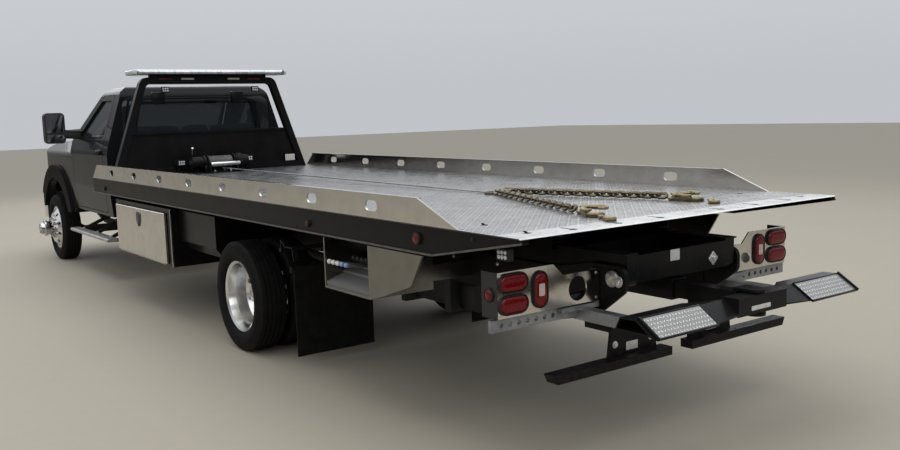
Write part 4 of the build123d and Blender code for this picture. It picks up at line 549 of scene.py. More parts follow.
# Cab: pressed steel panels in dark charcoal metallic, under a clear lacquer that is still
# glossy. The flakes glint, and the lower panels carry a film of dust. The arch flares and the
# doors' lower strips are plain black mouldings that stand on the paint.
def charcoal_metallic(name="charcoal_metallic"):
    paint = Finish(name, Metallic=0.04, Coat_Weight=0.6, Coat_Roughness=0.04, Coat_IOR=1.17,
                   Specular_IOR_Level=0.03)
    glint = paint.axis("X", at=paint.cells(1900, give="Color"))
    low = paint.axis("Z").within(0.45, 1.1, 1.0, 0.0)
    film = paint.noise(3.5, 5).within(0.35, 0.7) * low * 0.15
    base = paint.mix(glint, (0.006, 0.0063, 0.007), (0.016, 0.017, 0.0185))
    paint.look(paint.mix(film, base, (0.05, 0.046, 0.04)), glint * 0.12 + film * 0.5 + 0.24,
               paint.noise(2.2, 2), 0.0015, 0.08, edges=0.004)
    return paint


def masked(paint, mask, colour, rough):
    """Covers a part of a painted or polished piece with a plain moulding or paint."""
    paint.set("Base Color", paint.mix(mask, paint.fed("Base Color"), colour))
    paint.set("Roughness", paint.fed("Roughness") * (1.0 - mask) + mask * rough)
    for name in ("Metallic", "Coat Weight"):
        paint.set(name, (1.0 - mask) * paint.shader.inputs[name].default_value)


dress(charcoal_metallic(), "cab_shell", "hood")
flare_start_x = 1.0075
flare_paint = charcoal_metallic("fender_paint")
masked(flare_paint, abs(flare_paint.axis("X")) > flare_start_x, (0.01, 0.01, 0.0105), 0.5)
dress(flare_paint, "front_fenders")
door_strip_x = 1.0175
door_paint = charcoal_metallic("door_paint")
masked(door_paint, abs(door_paint.axis("X")) > door_strip_x, (0.012, 0.012, 0.013), 0.4)
dress(door_paint, "door_left", "door_right")


# Glass: laminated windscreen and tempered side and rear panes with a grey-green tint, through
# which the seats show dimly. The bonded panes have a border of black enamel, and the windscreen's
# follows its slanted ends. At the rear the dark border has large round corners on the cab's wall.
def tinted_glass(name, tint=(0.02, 0.028, 0.034), alpha=0.62):
    glass = Finish(name, Metallic=0.0, IOR=1.5)
    film = glass.noise(3, 4)
    glass.look(glass.mix(film.within(0.4, 0.8), tint, dimmed(tint, 1.3)), film.within(0.3, 0.8, 0.02, 0.05))
    glass.set("Alpha", film.within(0.4, 0.8, alpha, alpha + 0.04))
    glass.material.surface_render_method = "BLENDED"
    return glass


dress(tinted_glass("door_glass"), "door_glass_left", "door_glass_right")
bonded_glass = tinted_glass("bonded_glass")
pane_x = abs(bonded_glass.axis("X"))
pane_z = bonded_glass.axis("Z")
at_rear = (bonded_glass.axis("Y") - bed_rear) < 7.15
screen_edge = 0.83 - (pane_z - 1.49) * 0.352
rear_enamel = (pane_x > 0.672).most(pane_z < 1.562).most(pane_z > 1.872)
screen_enamel = (pane_x > screen_edge - 0.045).most(pane_z < 1.545).most(pane_z > 1.985)
enamel = (rear_enamel * at_rear + screen_enamel * (1.0 - at_rear)).least(1.0)
enamel_black = (0.006, 0.006, 0.006)
bonded_glass.set("Base Color", bonded_glass.mix(enamel, bonded_glass.fed("Base Color"), enamel_black))
bonded_glass.set("Alpha", bonded_glass.fed("Alpha").most(enamel))
dress(bonded_glass, "cab_glass")
border_glass = Finish("border_glass", IOR=1.5, Specular_IOR_Level=0.4)
border_film = border_glass.noise(3, 4)
border_glass.look(border_glass.mix(border_film, (0.007, 0.0095, 0.012), (0.012, 0.015, 0.018)),
                  border_film.within(0.3, 0.8, 0.03, 0.07))
border_loops = [(1660, 448, 100, -1), (1660, 448, 100, 4), (1654, 442, 98, 6), (1388, 354, 46, 6),
                (1382, 348, 44, 3), (1382, 348, 44, -10)]
rear_border = Piece("rear_glass_border").rings((0, 6850, 1717), X, Z, border_loops, cap=False)
rear_border.done(border_glass, "chassis", "cab_glass")


# Front: a chromed bumper and grille bars, with a black moulding behind the bars. On each side stand
# two round reflectors with domed glasses and chromed rings, and an amber turn lamp outside them.
# Five amber clearance lamps stand on the roof's front edge.
def lens_plastic(name, colour, deep):
    plastic = Finish(name, IOR=1.45, Specular_IOR_Level=0.25, Coat_Weight=0.35, Coat_Roughness=0.03,
                     Coat_IOR=1.35)
    flute = plastic.cells(160)
    plastic.look(plastic.mix(flute.within(0.0, 0.7), colour, deep), flute.within(0.0, 1.0, 0.06, 0.2),
                 flute, 0.0006, 0.35)
    return plastic


dress(chrome, "front_bumper", "tilt_rods")
grille_chrome = polished_stainless("grille_chrome", chrome_colour, 0.05, (2, 2, 2), 0.04)
masked(grille_chrome, (grille_chrome.axis("Y") - bed_rear) < 9.873, (0.008, 0.008, 0.008), 0.5)
dress(grille_chrome, "grille")
dress(lens_plastic("lamp_housing", (0.03, 0.031, 0.033), (0.012, 0.012, 0.013)), "headlamps")
headlamp_y = 9934
lamp_rings = Piece("headlamp_rings")
lamp_domes = Piece("headlamp_domes")
ambers = Piece("amber_lamps")
for side in (-1, 1):
    for z in (1112, 976):
        place = (side * 682, headlamp_y, z)
        lamp_rings.turned(place, Y, [(-2, 64), (6, 64), (11, 60), (11, 56), (3, 50), (1, 30), (0, 0)])
        lamp_domes.turned(place, Y, [(2, 44), (9, 40), (15, 26), (18, 0)])
    ambers.rings((side * 802, headlamp_y, 1046), (-1, 0, 0), Z,
                 [(34, 168, 12, -1), (34, 168, 12, 6), (28, 162, 10, 9)])
for x, roof_z in ((-560, 2033), (-190, 2025), (0, 2025), (190, 2025), (560, 2033)):
    ambers.rings((x, 7448, roof_z), X, (0, 0.92, -0.39),
                 [(96, 52, 14, -6), (96, 52, 14, 6), (84, 38, 12, 18), (70, 24, 8, 21)])
clear_lens = lens_plastic("clear_lens", (0.75, 0.77, 0.79), (0.45, 0.47, 0.5))
amber_lens = lens_plastic("amber_lens", (0.62, 0.2, 0.012), (0.3, 0.07, 0.004))
lamp_rings.done(chrome, "chassis", "chrome")
lamp_domes.done(clear_lens, "chassis", "clear_lens")
ambers.done(amber_lens, "chassis", "clear_lens")


# Wipers: two black arms with rubber blades that rest along the foot of the windscreen.
screen_foot_y, screen_foot_z = 8277, 1541
screen_top_y, screen_top_z = 7521, 2008
off_screen = (0, 0.525, 0.85)


def on_screen(x, z, proud=0):
    """A place on the windscreen's slope, at a distance out from the glass."""
    slope = (screen_foot_y - screen_top_y) / (screen_foot_z - screen_top_z)
    y = screen_foot_y + (z - screen_foot_z) * slope
    return (x, y + proud * off_screen[1], z + proud * off_screen[2])


rubber_rim = moulded_black("rubber_rim", (0.005, 0.005, 0.005), 0.55, 500)
wipers = Piece("wipers")
for start_x, end_x in ((-560, 60), (90, 700)):
    elbow = on_screen(start_x + 330, 1585, 22)
    wipers.rod(on_screen(start_x, 1530, 26), elbow, 7, 5, 10)
    wipers.rod(elbow, on_screen(start_x + 345, 1590, 12), 6, 6, 10)
    wipers.rod(on_screen(start_x + 60, 1562, 14), on_screen(end_x, 1612, 14), 6, 4, 8)
    spindle = [(-20, 16), (14, 16), (20, 11), (22, 0)]
    wipers.turned(on_screen(start_x, 1530, 8), off_screen, spindle, 20)
wipers.block((-700, 8262, 1500), (700, 8330, 1514), 5)
wipers.done(rubber_rim, "chassis", "black_plastic")


# Doors: a pull handle in a shallow black cup, a rubber strip under the glass, and a moulded cover
# over the mirror's two arms. A tall flat mirror glass stands over a small wide-angle one, in a
# bezel, with an amber lamp in front.
mirror_glass = polished_stainless("mirror_glass", (0.34, 0.36, 0.37), 0.015, (2, 2, 2), 0.0)
bezel_black = moulded_black("bezel_black", (0.01, 0.01, 0.01), 0.35, 700)
dress(black_plastic, "door_mirror_left", "door_mirror_right")
for side_name, side in sides:
    body = f"door_{side_name[0]}"
    fittings = Piece(f"door_fittings_{side_name}")
    forward = (0, side, 0)
    fittings.rings((side * 1010.5, 7150, 1385), forward, (side * -0.13, 0, 0.99),
                   [(176, 62, 18, -2), (176, 62, 18, 2.5), (168, 54, 15, 2.5), (160, 46, 13, 1)])
    fittings.block((side * 1014, 7070, 1374), (side * 1036, 7222, 1398), 9)
    fittings.rod((side * 1012, 7262, 1386), (side * 1018, 7262, 1386), 13, 11, 20)
    fittings.block((side * 962, 7092, 1497), (side * 976, 8060, 1512), 4)
    fittings.rings((side * 946, 8074, 1570), forward, Z,
                   [(86, 118, 26, 0), (74, 112, 26, 60), (52, 98, 22, 150), (50, 96, 20, 186)])
    fittings.done(bezel_black, body, "black_plastic")
    indicator = Piece(f"mirror_indicator_{side_name}")
    indicator.rings((side * 1250, 8110, 1520), (-1, 0, 0), Z,
                    [(120, 22, 8, -4), (120, 22, 8, 5), (112, 15, 6, 9)])
    indicator.done(amber_lens, body, "clear_lens")
    bezels = Piece(f"mirror_bezels_{side_name}")
    glasses = Piece(f"mirror_glasses_{side_name}")
    for z, height in ((1693, 205), (1525, 84)):
        place = (side * 1235, 8020, z)
        bezels.rings(place, X, Z, [(196, height + 10, 24, -6), (196, height + 10, 24, 5),
                                   (188, height, 20, 6), (184, height - 4, 19, 2)], cap=False)
        glasses.rings(place, X, Z, [(186, height - 2, 19, 1), (184, height - 4, 19, 3),
                                    (120, height * 0.55, 14, 3.6)])
    bezels.done(bezel_black, body, "black_plastic")
    glasses.done(mirror_glass, body, "chrome")


# Cab's inside: a grained moulding on the dash, and a bench and its backrest in three places, covered
# in grained vinyl with welted seams and sewn channels. Each cushion is crowned and pulled in at
# its seams.
cab_trim = moulded_black("cab_trim", (0.045, 0.043, 0.042), 0.6, 600)
dress(cab_trim, "cab_interior", "seats")
vinyl = Finish("seat_vinyl", IOR=1.48, Coat_Weight=0.15, Coat_Roughness=0.4)
vinyl_wear = vinyl.noise(6, 5).within(0.4, 0.75)
vinyl.look(vinyl.mix(vinyl_wear, (0.03, 0.03, 0.031), (0.06, 0.058, 0.056)), vinyl_wear * 0.12 + 0.5,
           vinyl.cells(420), 0.0004, 0.5)
groove_half = 0.06


def cushion(name, low, high, lean, crown, channels):
    """A block cut into a fine grid, crowned on every face, with grooves sewn across it."""
    low, high = at(*low), at(*high)
    middle, half = (low + high) / 2, (high - low) / 2
    inset = half - Vector((crown, crown, crown))
    pad = bmesh.new()
    bmesh.ops.create_cube(pad, size=2)
    bmesh.ops.subdivide_edges(pad, edges=pad.edges, cuts=23, use_grid_fill=True)
    for vert in pad.verts:
        u, v, w = vert.co
        swell = [crown * (1 - a * a) ** 0.5 * (1 - b * b) ** 0.5 for a, b in ((v, w), (u, w), (u, v))]
        far = [abs(part) ** 6 for part in (u, v, w)]
        pinch = 1 - 0.035 * (far[0] * far[1] + far[0] * far[2] + far[1] * far[2])
        place = Vector((u * inset.x, v * inset.y, w * inset.z)) * pinch
        for axis, value in enumerate((u, v, w)):
            if abs(value) > 0.999:
                place[axis] += swell[axis] * (1 if value > 0 else -1)
        groove = sum(max(0.0, 1 - abs(u - channel) / groove_half) for channel in channels)
        place -= Vector((0, place.y * 0.05, place.z * 0.05)) * groove
        vert.co = middle + Vector((place.x, place.y + lean * (place.z + inset.z), place.z))
    bmesh.ops.recalc_face_normals(pad, faces=pad.faces)
    made = fixed(name, pad, vinyl, "chassis")
    rounding = made.modifiers.new("rounding", "SUBSURF")
    rounding.levels = rounding.render_levels = 1
    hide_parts("seats")


wide = (-0.45, 0, 0.45)
for pad_name, start_x, end_x, channels in (("driver", -775, -165, wide), ("middle", -160, 160, (0,)),
                                           ("passenger", 165, 775, wide)):
    cushion(f"seat_cushion_{pad_name}", (start_x, 7125, 905), (end_x, 7635, 1145), 0, 0.022, channels)
    cushion(f"seat_back_{pad_name}", (start_x, 6968, 1150), (end_x, 7085, 1640), -0.08, 0.02, channels)


# Running boards: extruded aluminium with fine lengthwise ribs, on black brackets.
board_alloy = Finish("board_alloy", Metallic=0.75)
board_ribs = abs((board_alloy.axis("X") / 0.009) % 1.0 - 0.5)
board_scuff = board_alloy.noise(12, 5).within(0.4, 0.75)
bracket = abs(board_alloy.axis("X")) < 0.955
bright_board = board_alloy.mix(board_scuff, (0.62, 0.62, 0.6), (0.42, 0.41, 0.4))
board_alloy.look(board_alloy.mix(bracket, bright_board, (0.006, 0.006, 0.006)), board_scuff * 0.1 + 0.4,
                 board_ribs, 0.0015, 0.6, edges=0.003)
board_alloy.set("Metallic", (1.0 - bracket) * 0.75)
dress(board_alloy, "running_boards")


# Toolboxes: folded steel boxes in semi-gloss black powder coat, with doors of stainless sheet that
# is polished to a near mirror. The doors have black latches and a bright strip at one edge. A blank
# label holder hangs on the side behind the left one.
def powder_black(name="powder_black", gloss=0.26, base=(0.005, 0.005, 0.0055)):
    coat = Finish(name, IOR=1.5, Specular_IOR_Level=0.12, Coat_Weight=0.15, Coat_Roughness=0.12,
                  Coat_IOR=1.25)
    peel = coat.noise(230, 2)
    dust = coat.noise(5, 6).within(0.42, 0.8) * 0.1
    coat.look(coat.mix(dust, base, (0.06, 0.055, 0.047)),
              peel.within(0.3, 0.7, gloss, gloss + 0.08) + dust * 0.8, peel, 0.0003, 0.25, edges=0.0025)
    return coat


def blank_label():
    card = Finish("blank_label", IOR=1.45, Coat_Weight=0.4, Coat_Roughness=0.2)
    stain = card.noise(35, 5)
    card.look(card.mix(stain.within(0.35, 0.75), (0.62, 0.62, 0.6), (0.47, 0.46, 0.42)),
              stain.within(0.3, 0.7, 0.35, 0.55), card.noise(220, 2), 0.0002, 0.3)
    return card


moulding_black = (0.012, 0.012, 0.013)
bed_black = powder_black()
stainless = polished_stainless()
label_finish = blank_label()
dress(bed_black, "toolboxes")
latch_steel = polished_stainless("latched_stainless")
latch_face_x = 1.2072
masked(latch_steel, abs(latch_steel.axis("X")) > latch_face_x, moulding_black, 0.35)
dress(latch_steel, "toolbox_door_left", "toolbox_door_right")
locker_trim = Piece("locker_trim")
for side in (-1, 1):
    locker_trim.block((side * 1178, 4517, 470), (side * 1194, 4527, 950), 2)
locker_trim.done(stainless, "chassis", "stainless")
holder_loops = [(58, 128, 5, -6), (58, 128, 5, 4), (54, 124, 4, 5)]
locker_label = Piece("locker_label").rings((-704, 4478, 870), (0, -1, 0), Z, holder_loops)
locker_label.done(label_finish, "chassis", "black_paint")


# Control boxes: stainless cases with dark consoles inside. The cases' stainless is a darkened copy of
# the polished stainless, a painted reflection of dark surroundings. Round knobs stand on the forward five
# levers and tall black grips on the four behind them, with a blank pale strip at their feet and a
# pale plate on the case's back wall.
# Painted reflection: the stainless colour is dimmed to about a third for the dark surroundings it reflects.
console_steel_painted_reflection = polished_stainless("console_stainless_painted_reflection", (0.24, 0.232, 0.21), 0.17)
from_tail = console_steel_painted_reflection.axis("Y") - bed_rear
inside = (abs(console_steel_painted_reflection.axis("X")) > 0.774) * (abs(console_steel_painted_reflection.axis("X")) < 1.1895)
inside = inside * (from_tail > 1.3375) * (from_tail < 1.8315) * (console_steel_painted_reflection.axis("Z") > 0.675)
masked(console_steel_painted_reflection, inside, (0.16, 0.16, 0.155), 0.45)
dress(console_steel_painted_reflection, "control_boxes")
lever_foot = Vector((965, 0, 788))
grips = Piece("lever_grips")
white_knobs = Piece("lever_knobs_white")
blue_knobs = Piece("lever_knobs_blue")
console_plates = Piece("console_plates")
knob = [(-14, 8), (-8, 13), (2, 15), (10, 13), (15, 7), (17, 0)]
grip = [(-86, 10), (-82, 13), (-20, 14), (2, 14), (10, 9), (12, 0)]
knobs = ((white_knobs, knob),) * 3 + ((blue_knobs, knob),) * 2
lever_rows = ((knobs, 1805, 50, 1174, 830), (((grips, grip),) * 4, 1575, 48, 1140, 875))
for side in (-1, 1):
    for ends, first_y, pitch, tip_x, tip_z in lever_rows:
        lean = (Vector((tip_x, 0, tip_z)) - lever_foot).normalized()
        for number, (piece, profile) in enumerate(ends):
            tip = (side * tip_x, first_y - pitch * number, tip_z)
            piece.turned(tip, (side * lean.x, 0, lean.z), profile, 20)
    console_plates.block((side * 772, 1345, 822), (side * 775, 1824, 962), 1)
    console_plates.block((side * 1010, 1345, 782), (side * 1012, 1700, 796), 0.5)
grips.done(rubber_rim, "chassis", "black_plastic")
white_knobs.done(moulded_black("knob_white", (0.62, 0.62, 0.6), 0.3, 500), "chassis", "black_plastic")
blue_knobs.done(moulded_black("knob_blue", (0.2, 0.26, 0.5), 0.3, 500), "chassis", "black_plastic")
console_plates.done(label_finish, "chassis", "stainless")


# Tail panels: polished stainless plates, whose outer returns and round ports' rims are painted
# black, over a bar of galvanised holed arms. Blank enamelled labels are fixed to the frame.
def fix_labels(name, body, places, width, height, radius):
    labels = Piece(name)
    for place in places:
        labels.rings(place, X, Z, [(width, height, radius, -1), (width, height, radius, 1.2),
                                   (width - 2, height - 2, radius, 1.6)])
    labels.done(label_finish, body, "black_paint")


tail_steel = polished_stainless("tail_stainless")
port_y = tail_steel.axis("Y") - bed_rear
outer_return = abs(tail_steel.axis("X")) > 1.1285
port_rim = (port_y > 0.2935) * (abs(tail_steel.axis("X")) < 1.12)
masked(tail_steel, outer_return.most(port_rim), moulding_black, 0.4)
dress(tail_steel, "tail_panels")
dress(galvanised("arm_zinc", (0.3, 0.31, 0.32), 60, 0.36), "stowed_arms")
fix_labels("frame_labels", "chassis", ((-318, 190, 478), (318, 190, 478)), 86, 44, 4)


# Tail lamps: domed oval lenses, each set in a thick black rubber grommet, with the pale square
# of the reversing lamp in the middle of the upright one and a round marker on the panel's side.
def lamp_loops(width, height, steps):
    return [(width + grow, height + grow, min(width + grow, height + grow) / 2 - 0.5, proud)
            for grow, proud in steps]


red_lens = lens_plastic("red_lens", (0.26, 0.004, 0.009), (0.1, 0.0015, 0.004))
pale_lens = lens_plastic("pale_lens", (0.78, 0.7, 0.68), (0.5, 0.4, 0.38))
dress(red_lens, "tail_lamps")
tail_lamp_places = ((1036, 888, 172, 84), (1036, 784, 172, 84), (866, 833, 84, 172))
rim_steps = [(14, -1), (14, 9), (8, 14), (-2, 14), (-6, 8)]
lens_steps = [(-5, 4), (-6, 11), (-14, 15), (-30, 17), (-56, 18)]
reversing_loops = [(38, 62, 6, 15), (36, 60, 6, 19), (32, 56, 6, 20)]
grommets = Piece("tail_lamp_grommets")
lenses = Piece("tail_lamp_lenses")
reversing = Piece("reversing_lenses")
for side in (-1, 1):
    for x, z, width, height in tail_lamp_places:
        place = (side * x, panel_face_y, z)
        grommets.rings(place, X, Z, lamp_loops(width, height, rim_steps), cap=False)
        lenses.rings(place, X, Z, lamp_loops(width, height, lens_steps))
    reversing.rings((side * 866, panel_face_y, 833), X, Z, reversing_loops)
    marker_place = (side * 1130, 335, 833)
    grommets.turned(marker_place, (side, 0, 0), [(0, 34), (6, 34), (9, 30), (9, 27)])
    lenses.turned(marker_place, (side, 0, 0), [(0, 27), (8, 26), (13, 18), (15, 0)])
grommets.done(rubber_rim, "chassis", "flap_rubber")
lenses.done(red_lens, "chassis", "red_lens", "tail_lamps")
reversing.done(pale_lens, "chassis", "clear_lens")


# Tilt frame: two welded box rails and their cross members in black powder coat, lifted by two
# galvanised cylinders with chromed rods. Its tail has a blank label and the pin's square keeper.
dress(bed_black, "tilt_frame", "tilt_members")
lift_zinc = galvanised()
dress(lift_zinc, "tilt_barrels", "winch_rope")
fix_labels("tilt_label", "tilting_frame", ((-67, 120, 925),), 72, 58, 4)
diagonal = 0.7071
keeper = Piece("tilt_pin_keeper")
keeper.rings((239, 120, 872), (diagonal, 0, diagonal), (-diagonal, 0, diagonal),
             [(56, 56, 5, -1), (56, 56, 5, 6), (52, 52, 4, 8)])
keeper.hexagon((239, 113, 872), (0, -1, 0), 13, 14, 1.3)
keeper.done(bright_zinc, "tilting_frame", "galvanised")


# Side beams: black steel channels under the deck's edges, whose lower lips are worn bright where
# straps are hooked over them. Small red marker lamps and bolt heads stand along them.
beam_black = powder_black("beam_black", 0.34, (0.004, 0.004, 0.0045))
lip = abs(beam_black.axis("X")) > 1.2105
worn_lip = lip * beam_black.noise(24, 4).within(0.35, 0.6, 0.55, 1.0)
beam_black.set("Base Color", beam_black.mix(worn_lip, beam_black.fed("Base Color"), (0.17, 0.165, 0.155)))
beam_black.set("Metallic", worn_lip * 0.85)
dress(beam_black, "deck_beams")
marker_rims = Piece("side_marker_rims")
marker_lenses = Piece("side_marker_lenses")
for side in (-1, 1):
    out = (side, 0, 0)
    for y, z, radius in ((805, 1065, 24), (1988, 1045, 13), (6300, 1045, 13)):
        place = (side * 1219, y, z)
        rim = [(-12, radius + 8), (3, radius + 8), (6, radius + 4), (6, radius)]
        marker_rims.turned(place, out, rim, 28)
        marker_lenses.turned(place, out, [(-2, radius), (5, radius), (8, radius * 0.7), (10, 0)], 28)
    marker_rims.hexagon((side * 1209, 349, 1104), out, 9, 8)
marker_rims.done(rubber_rim, "bed", "black_plastic")
marker_lenses.done(red_lens, "bed", "red_lens")


# Deck: chequered steel plate in long sheets between side rails of stainless sheet. Its raised bars and a
# strip at the tail are worn to bright metal, and over the last four metres its colour brightens towards
# the tail as a painted sky reflection. The raised bars stand in pairs that turn a quarter from cell to
# cell.
def raised_bars(finish, pitch):
    """The plate's pattern as a height: a long lens in each cell, crossed from cell to cell."""
    x = finish.axis("X") / pitch
    y = finish.axis("Y") / pitch
    cell = (x.floor() + y.floor()) % 2.0
    across = x % 1.0 - 0.5
    along = y % 1.0 - 0.5
    one = (across + along) * 0.707
    other = (across - along) * 0.707
    thin = one * (1.0 - cell) + other * cell
    long = other * (1.0 - cell) + one * cell
    height = 1.0 - (thin * 6.2).power(2.0) - (long * 2.35).power(2.0)
    return height.within(0.0, 0.35, smooth=True)


def deck_steel():
    plate = Finish("deck_steel", IOR=1.5)
    geometry = plate.node("NewGeometry", {}, give="Normal")
    top = (plate.axis("Z", at=geometry) > 0.9) * (plate.axis("Z") > deck_top - 0.006)
    y = plate.axis("Y") - bed_rear
    # Painted sky reflection: the deck's colour and metal grow brighter over four metres towards the tail.
    tail = y.within(0.2, 4.2, 1.0, 0.0)
    strip = y < 0.172
    scuff = plate.noise(9, 6).within(0.4, 0.7)
    bars = raised_bars(plate, deck_pitch) * top * (1.0 - strip)
    # Real wear of the bars, scuffs and the tail strip, together with the painted sky reflection.
    wear_and_painted_sheen = (bars * (tail * 0.5 + 0.34) + scuff * 0.14 + tail * 0.3 + strip * 0.6).least(1.0) * top
    paint = plate.mix(plate.noise(2.5, 5), (0.016, 0.0165, 0.0175), (0.034, 0.034, 0.034))
    plate.look(plate.mix(wear_and_painted_sheen, paint, (0.72, 0.72, 0.71)),
               plate.noise(40, 4).within(0.3, 0.7, 0.22, 0.32) + scuff * 0.08 * top,
               bars, 0.0018, 0.8, edges=0.0025)
    plate.set("Metallic", wear_and_painted_sheen * 0.9)
    return plate


deck_pitch = 0.034
dress(deck_steel(), "deck")
dress(stainless, "side_rails")


# Cab guard: a frame of square tube with a lower sheet, powder coated in black. It carries small
# black housings with two rows of round bright diodes, which stand by the winch and under the
# left beam too, a blank label, and a row of small lamps under its top tube.
dress(bed_black, "cab_guard")
diode_glass = lens_plastic("diode_glass", (0.8, 0.82, 0.84), (0.45, 0.47, 0.5))


def diode_lamps(name, places):
    """Places are centre, right, up and the housing's depth behind its face."""
    housings = Piece(name + "_housings")
    diodes = Piece(name + "_diodes")
    for centre, right, up, depth in places:
        housings.rings(centre, right, up, [(84, 58, 6, -depth), (84, 58, 6, -3), (80, 54, 6, 0),
                                           (74, 48, 5, 0), (73, 47, 5, -3)])
        right, up = Vector(right), Vector(up)
        for column in (-23, 0, 23):
            for row in (-11.5, 11.5):
                place = Vector(centre) + right * column + up * row
                diodes.turned(place, right.cross(up), [(-3, 10), (1, 9.5), (3, 6), (4, 0)], 16)
    housings.done(rubber_rim, "bed", "black_plastic")
    diodes.done(diode_glass, "bed", "clear_lens")


diode_lamps("work_lamp", [((-496, 6420, 2010), X, Z, 20), ((496, 6420, 2010), X, Z, 20),
                          ((-408, 6330, 1250), X, Z, 90), ((345, 6330, 1262), X, Z, 90)])
diode_lamps("side_work_lamp", [((-1176, 180, 1048), (0, -1, 0), Z, 34)])
lamp_hangers = Piece("lamp_hangers")
lamp_hangers.block((-1167, 150, 1070), (-1143, 210, 1102), 2)
for x in (-408, 345):
    lamp_hangers.block((x - 20, 6400, 1225), (x + 20, 6440, 1275), 2)
    lamp_hangers.block((x - 20, 6395, 1140), (x + 20, 6420, 1270), 2)
for x in (-560, 300):
    lamp_hangers.block((x - 65, 6440, 1862), (x + 65, 6500, 1985), 6)
lamp_hangers.done(bed_black, "bed", "black_paint")
bed_label_loops = [(116, 70, 5, 0), (116, 70, 5, 1.5), (113, 67, 5, 2)]
bed_labels = Piece("bed_labels").rings((880, 6434, 1242), X, Z, bed_label_loops)
bed_labels.done(label_finish, "bed", "black_paint")
row = Piece("row_lamp_bodies")
row_red = Piece("row_lamp_red")
row_clear = Piece("row_lamp_clear")
for x, lamp_row in ((-486, row_red), (-254, row_clear), (254, row_clear), (486, row_red)):
    row.rings((x, 6430, 2120), X, Z, [(150, 30, 8, -12), (150, 30, 8, 4), (144, 24, 7, 6)])
    lamp_row.rings((x, 6424, 2120), X, Z, [(138, 20, 6, 0), (134, 17, 6, 4), (124, 11, 5, 6)])
row.done(rubber_rim, "bed", "black_plastic")
row_red.done(lens_plastic("maroon_lens", (0.2, 0.01, 0.012), (0.08, 0.004, 0.004)), "bed", "red_lens")
row_clear.done(pale_lens, "bed", "clear_lens")


# Beacon bar: clear and silvered modules over a black base, with dark joints between them and
# rounded clear caps at its ends. A painted highlight turns the bar's top nearly white. It stands on a
# long black tray on the guard's top tube.
beacon = Finish("beacon_lens", IOR=1.49, Coat_Weight=0.9, Coat_Roughness=0.03)
beacon_z = beacon.axis("Z")
beacon_flute = abs((beacon.axis("X") / 0.011) % 1.0 - 0.5)
beacon_joint = (abs((beacon.axis("X") / 0.166) % 1.0 - 0.5) < 0.02) * 0.6
beacon_dark = beacon_joint.most(beacon_z < 2.1685)
module = beacon.noise(7, 2, at=beacon.placed((2, 0.1, 0.1))).within(0.4, 0.6)
silvered = beacon.mix(module, (0.5, 0.52, 0.54), (0.3, 0.32, 0.35))
# Painted highlight: the top of the bar blends to near white.
silvered_and_painted_highlight = beacon.mix(beacon_z.within(2.185, 2.2), silvered, (0.86, 0.87, 0.88))
beacon.look(beacon.mix(beacon_dark, silvered_and_painted_highlight, moulding_black), beacon_flute * 0.2 + 0.08,
            beacon_flute, 0.0015, 0.5, edges=0.004)
beacon.set("Metallic", (1.0 - beacon_dark) * 0.45)
dress(beacon, "light_bar")
beacon_ends = Piece("beacon_ends")
end_loops = [(293, 55, 20, -26), (292, 54, 22, -6), (272, 44, 20, 9), (226, 26, 12, 17), (170, 12, 5, 19)]
for side in (-1, 1):
    beacon_ends.rings((side * 830, 6472.5, 2184), (0, side, 0), Z, end_loops)
beacon_ends.done(diode_glass, "bed", "clear_lens")
beacon_foot = Piece("beacon_foot").block((-640, 6440, 2128), (640, 6512, 2160), 6)
beacon_foot.done(bed_black, "bed", "black_paint")


# Winch: layers of wire rope round the drum, a bright fairlead roller, and the free-spool lever
# with its polished knob, on a black base that is bolted to the deck.
dress(bed_black, "winch")
drum_profile = [(-132, 44)]
for number in range(19):
    start = -128 + number * 13.4
    drum_profile += [(start + along, radius)
                     for along, radius in ((0, 62), (3.3, 67), (6.7, 68.5), (10, 67), (13.3, 62))]
drum_profile.append((130, 44))
rope_turns = Piece("winch_rope_turns").turned((-40, 6230, 1245), X, drum_profile, 40)
rope_turns.done(galvanised("wire_rope", (0.16, 0.16, 0.155), 400, 0.42), "bed", "galvanised")
winch_trim = Piece("winch_trim")
winch_trim.turned((-40, 6065, 1232), X, [(-158, 0), (-158, 21), (-150, 23), (150, 23), (158, 21), (158, 0)])
winch_trim.rod((-330, 6230, 1330), (-340, 6185, 1392), 7)
knob_profile = [(-4, 7), (6, 13), (16, 13), (22, 7), (24, 0)]
winch_trim.turned((-340, 6185, 1392), (-0.2, -0.6, 0.78), knob_profile, 20)
for x in (-128, 48):
    for y in (6140, 6320):
        winch_trim.hexagon((x, y, 1154), Z, 12, 12)
winch_trim.done(chrome, "bed", "chrome")


# Bridle: a yellow-gold passivated chain in two legs, with drop-forged hooks that are round in
# section, with an eye at the root and a tapered point. Each leg ends in a long hook, a short one
# and a grab hook that lies across them.
dress(galvanised("gold_zinc", (0.12, 0.1, 0.062), 90, 0.2), "bridle_chain")
deck_mm = 1141
hook_bend = 38
hook_paths = []


def lay_hook(x, y, heading_degrees, scale, lift, hand=1):
    """Adds a hook's eye and its shank and bend, lying flat on the deck or on another hook."""
    h = Vector((cos(radians(heading_degrees)), sin(radians(heading_degrees))))
    v = Vector((-h.y, h.x)) * hand
    thick = 15 * scale ** 0.5
    z = deck_mm + thick + lift
    local = [(14, 0, 0.7), (48, -3, 0.85), (84, -8, 1.0)]
    for step, angle in enumerate(range(225, 451, 32)):
        bend = radians(angle)
        local.append((136 + hook_bend * cos(bend), 12 + hook_bend * sin(bend), 1.12 - step * 0.085))
    hook_paths.append((False, [(x + (h.x * a + v.x * b) * scale, y + (h.y * a + v.y * b) * scale, z,
                                thick * size) for a, b, size in local]))
    eye = 20 * scale
    round_eye = [radians(angle) for angle in range(0, 360, 45)]
    hook_paths.append((True, [(x + eye * cos(angle), y + eye * sin(angle), z, thick * 0.62)
                              for angle in round_eye]))


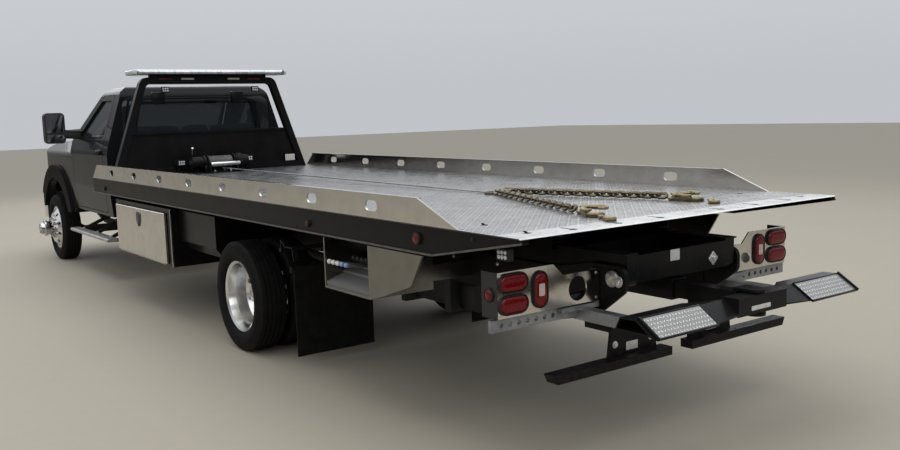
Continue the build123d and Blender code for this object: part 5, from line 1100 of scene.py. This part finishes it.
for (x, y), heading, tail_end, tail_heading in (((-395, 470), -109.0, (-471.4, 247.8), -110.9),
                                                ((430, 560), -73.5, (496.7, 334.7), -133.9)):
    lay_hook(x, y, heading, 1.0, 0)
    lay_hook(*tail_end, tail_heading, 0.66, 0)
    lay_hook(x + 8, y - 12, heading + 34, 0.8, 27, -1)
    lay_hook(x - 10, y - 30, heading - 22, 0.62, 24)
lay_hook(60, 1722, -95, 0.7, 18)
lay_hook(84, 1730, -40, 0.6, 16, -1)
hook_line = bpy.data.curves.new("bridle_hooks", "CURVE")
hook_line.dimensions = "3D"
hook_line.bevel_depth = 0.001
hook_line.bevel_resolution = 4
hook_line.resolution_u = 4
hook_line.use_fill_caps = True
for closed, points in hook_paths:
    spline = hook_line.splines.new("NURBS")
    spline.points.add(len(points) - 1)
    for point, (x, y, z, thickness) in zip(spline.points, points):
        point.co = (*at(x, y, z), 1)
        point.radius = thickness
    spline.order_u = 3
    spline.use_endpoint_u = not closed
    spline.use_cyclic_u = closed
hook_object = bpy.data.objects.new("bridle_hook_line", hook_line)
scene.collection.objects.link(hook_object)
bpy.context.view_layer.update()
hooks = Piece("bridle_hooks")
hooks.shape.from_mesh(bpy.data.meshes.new_from_object(hook_object))
bpy.data.objects.remove(hook_object)
hooks.done(galvanised("hook_zinc", (0.25, 0.205, 0.115), 70, 0.17), "bed", "chain_steel")


# Wheel lift: a black boom, its sliding inner boom and a crossbar with chequered steps of bright
# plate. Black edge bars lie round each step, with a short upstand at the outer end.
def step_steel():
    plate = Finish("step_plate", Metallic=0.9)
    bars = raised_bars(plate, 0.021)
    plate.look(plate.mix(bars, (0.34, 0.34, 0.33), (0.85, 0.84, 0.82)),
               plate.noise(14, 5).within(0.4, 0.7) * 0.12 + 0.26 - bars * 0.06,
               bars, 0.003, 1.0, edges=0.001)
    return plate


dress(bed_black, "lift_boom", "lift_stinger", "lift_crossbar")
dress(step_steel(), "step_plates")
fix_labels("bar_label", "lift_bar", ((-17, -365, 720),), 150, 22, 5)
step_frames = Piece("step_frames")
slope_start, slope_end = Vector((0, -391, 689)), Vector((0, -276, 765))
slope = (slope_end - slope_start).normalized()
off_slope = Vector((0, -slope.z, slope.y))
on_slope = Matrix(((1, 0, 0, 0), (0, slope.y, -slope.z, 0), (0, slope.z, slope.y, 0), (0, 0, 0, 1)))


def slope_bar(x_range, along, height):
    """A bar that lies on the wing's slope: its reach across, up the slope, and off it."""
    middle = slope_start + slope * (sum(along) / 2) + off_slope * (sum(height) / 2)
    middle.x = sum(x_range) / 2
    half = Vector([abs(b - a) / 2 for a, b in (x_range, along, height)])
    step_frames.block(middle - half, middle + half, 1.5, on_slope)


for side in (-1, 1):
    inner, outer = side * 372, side * 790
    slope_bar((inner, outer), (-3, 6), (-2, 8))
    slope_bar((inner, outer), (131, 140), (-2, 8))
    slope_bar((outer - side * 12, outer), (-3, 140), (-2, 15))
    slope_bar((inner, inner + side * 7), (-3, 140), (-2, 8))
step_frames.done(bed_black, "lift_bar", "black_paint")
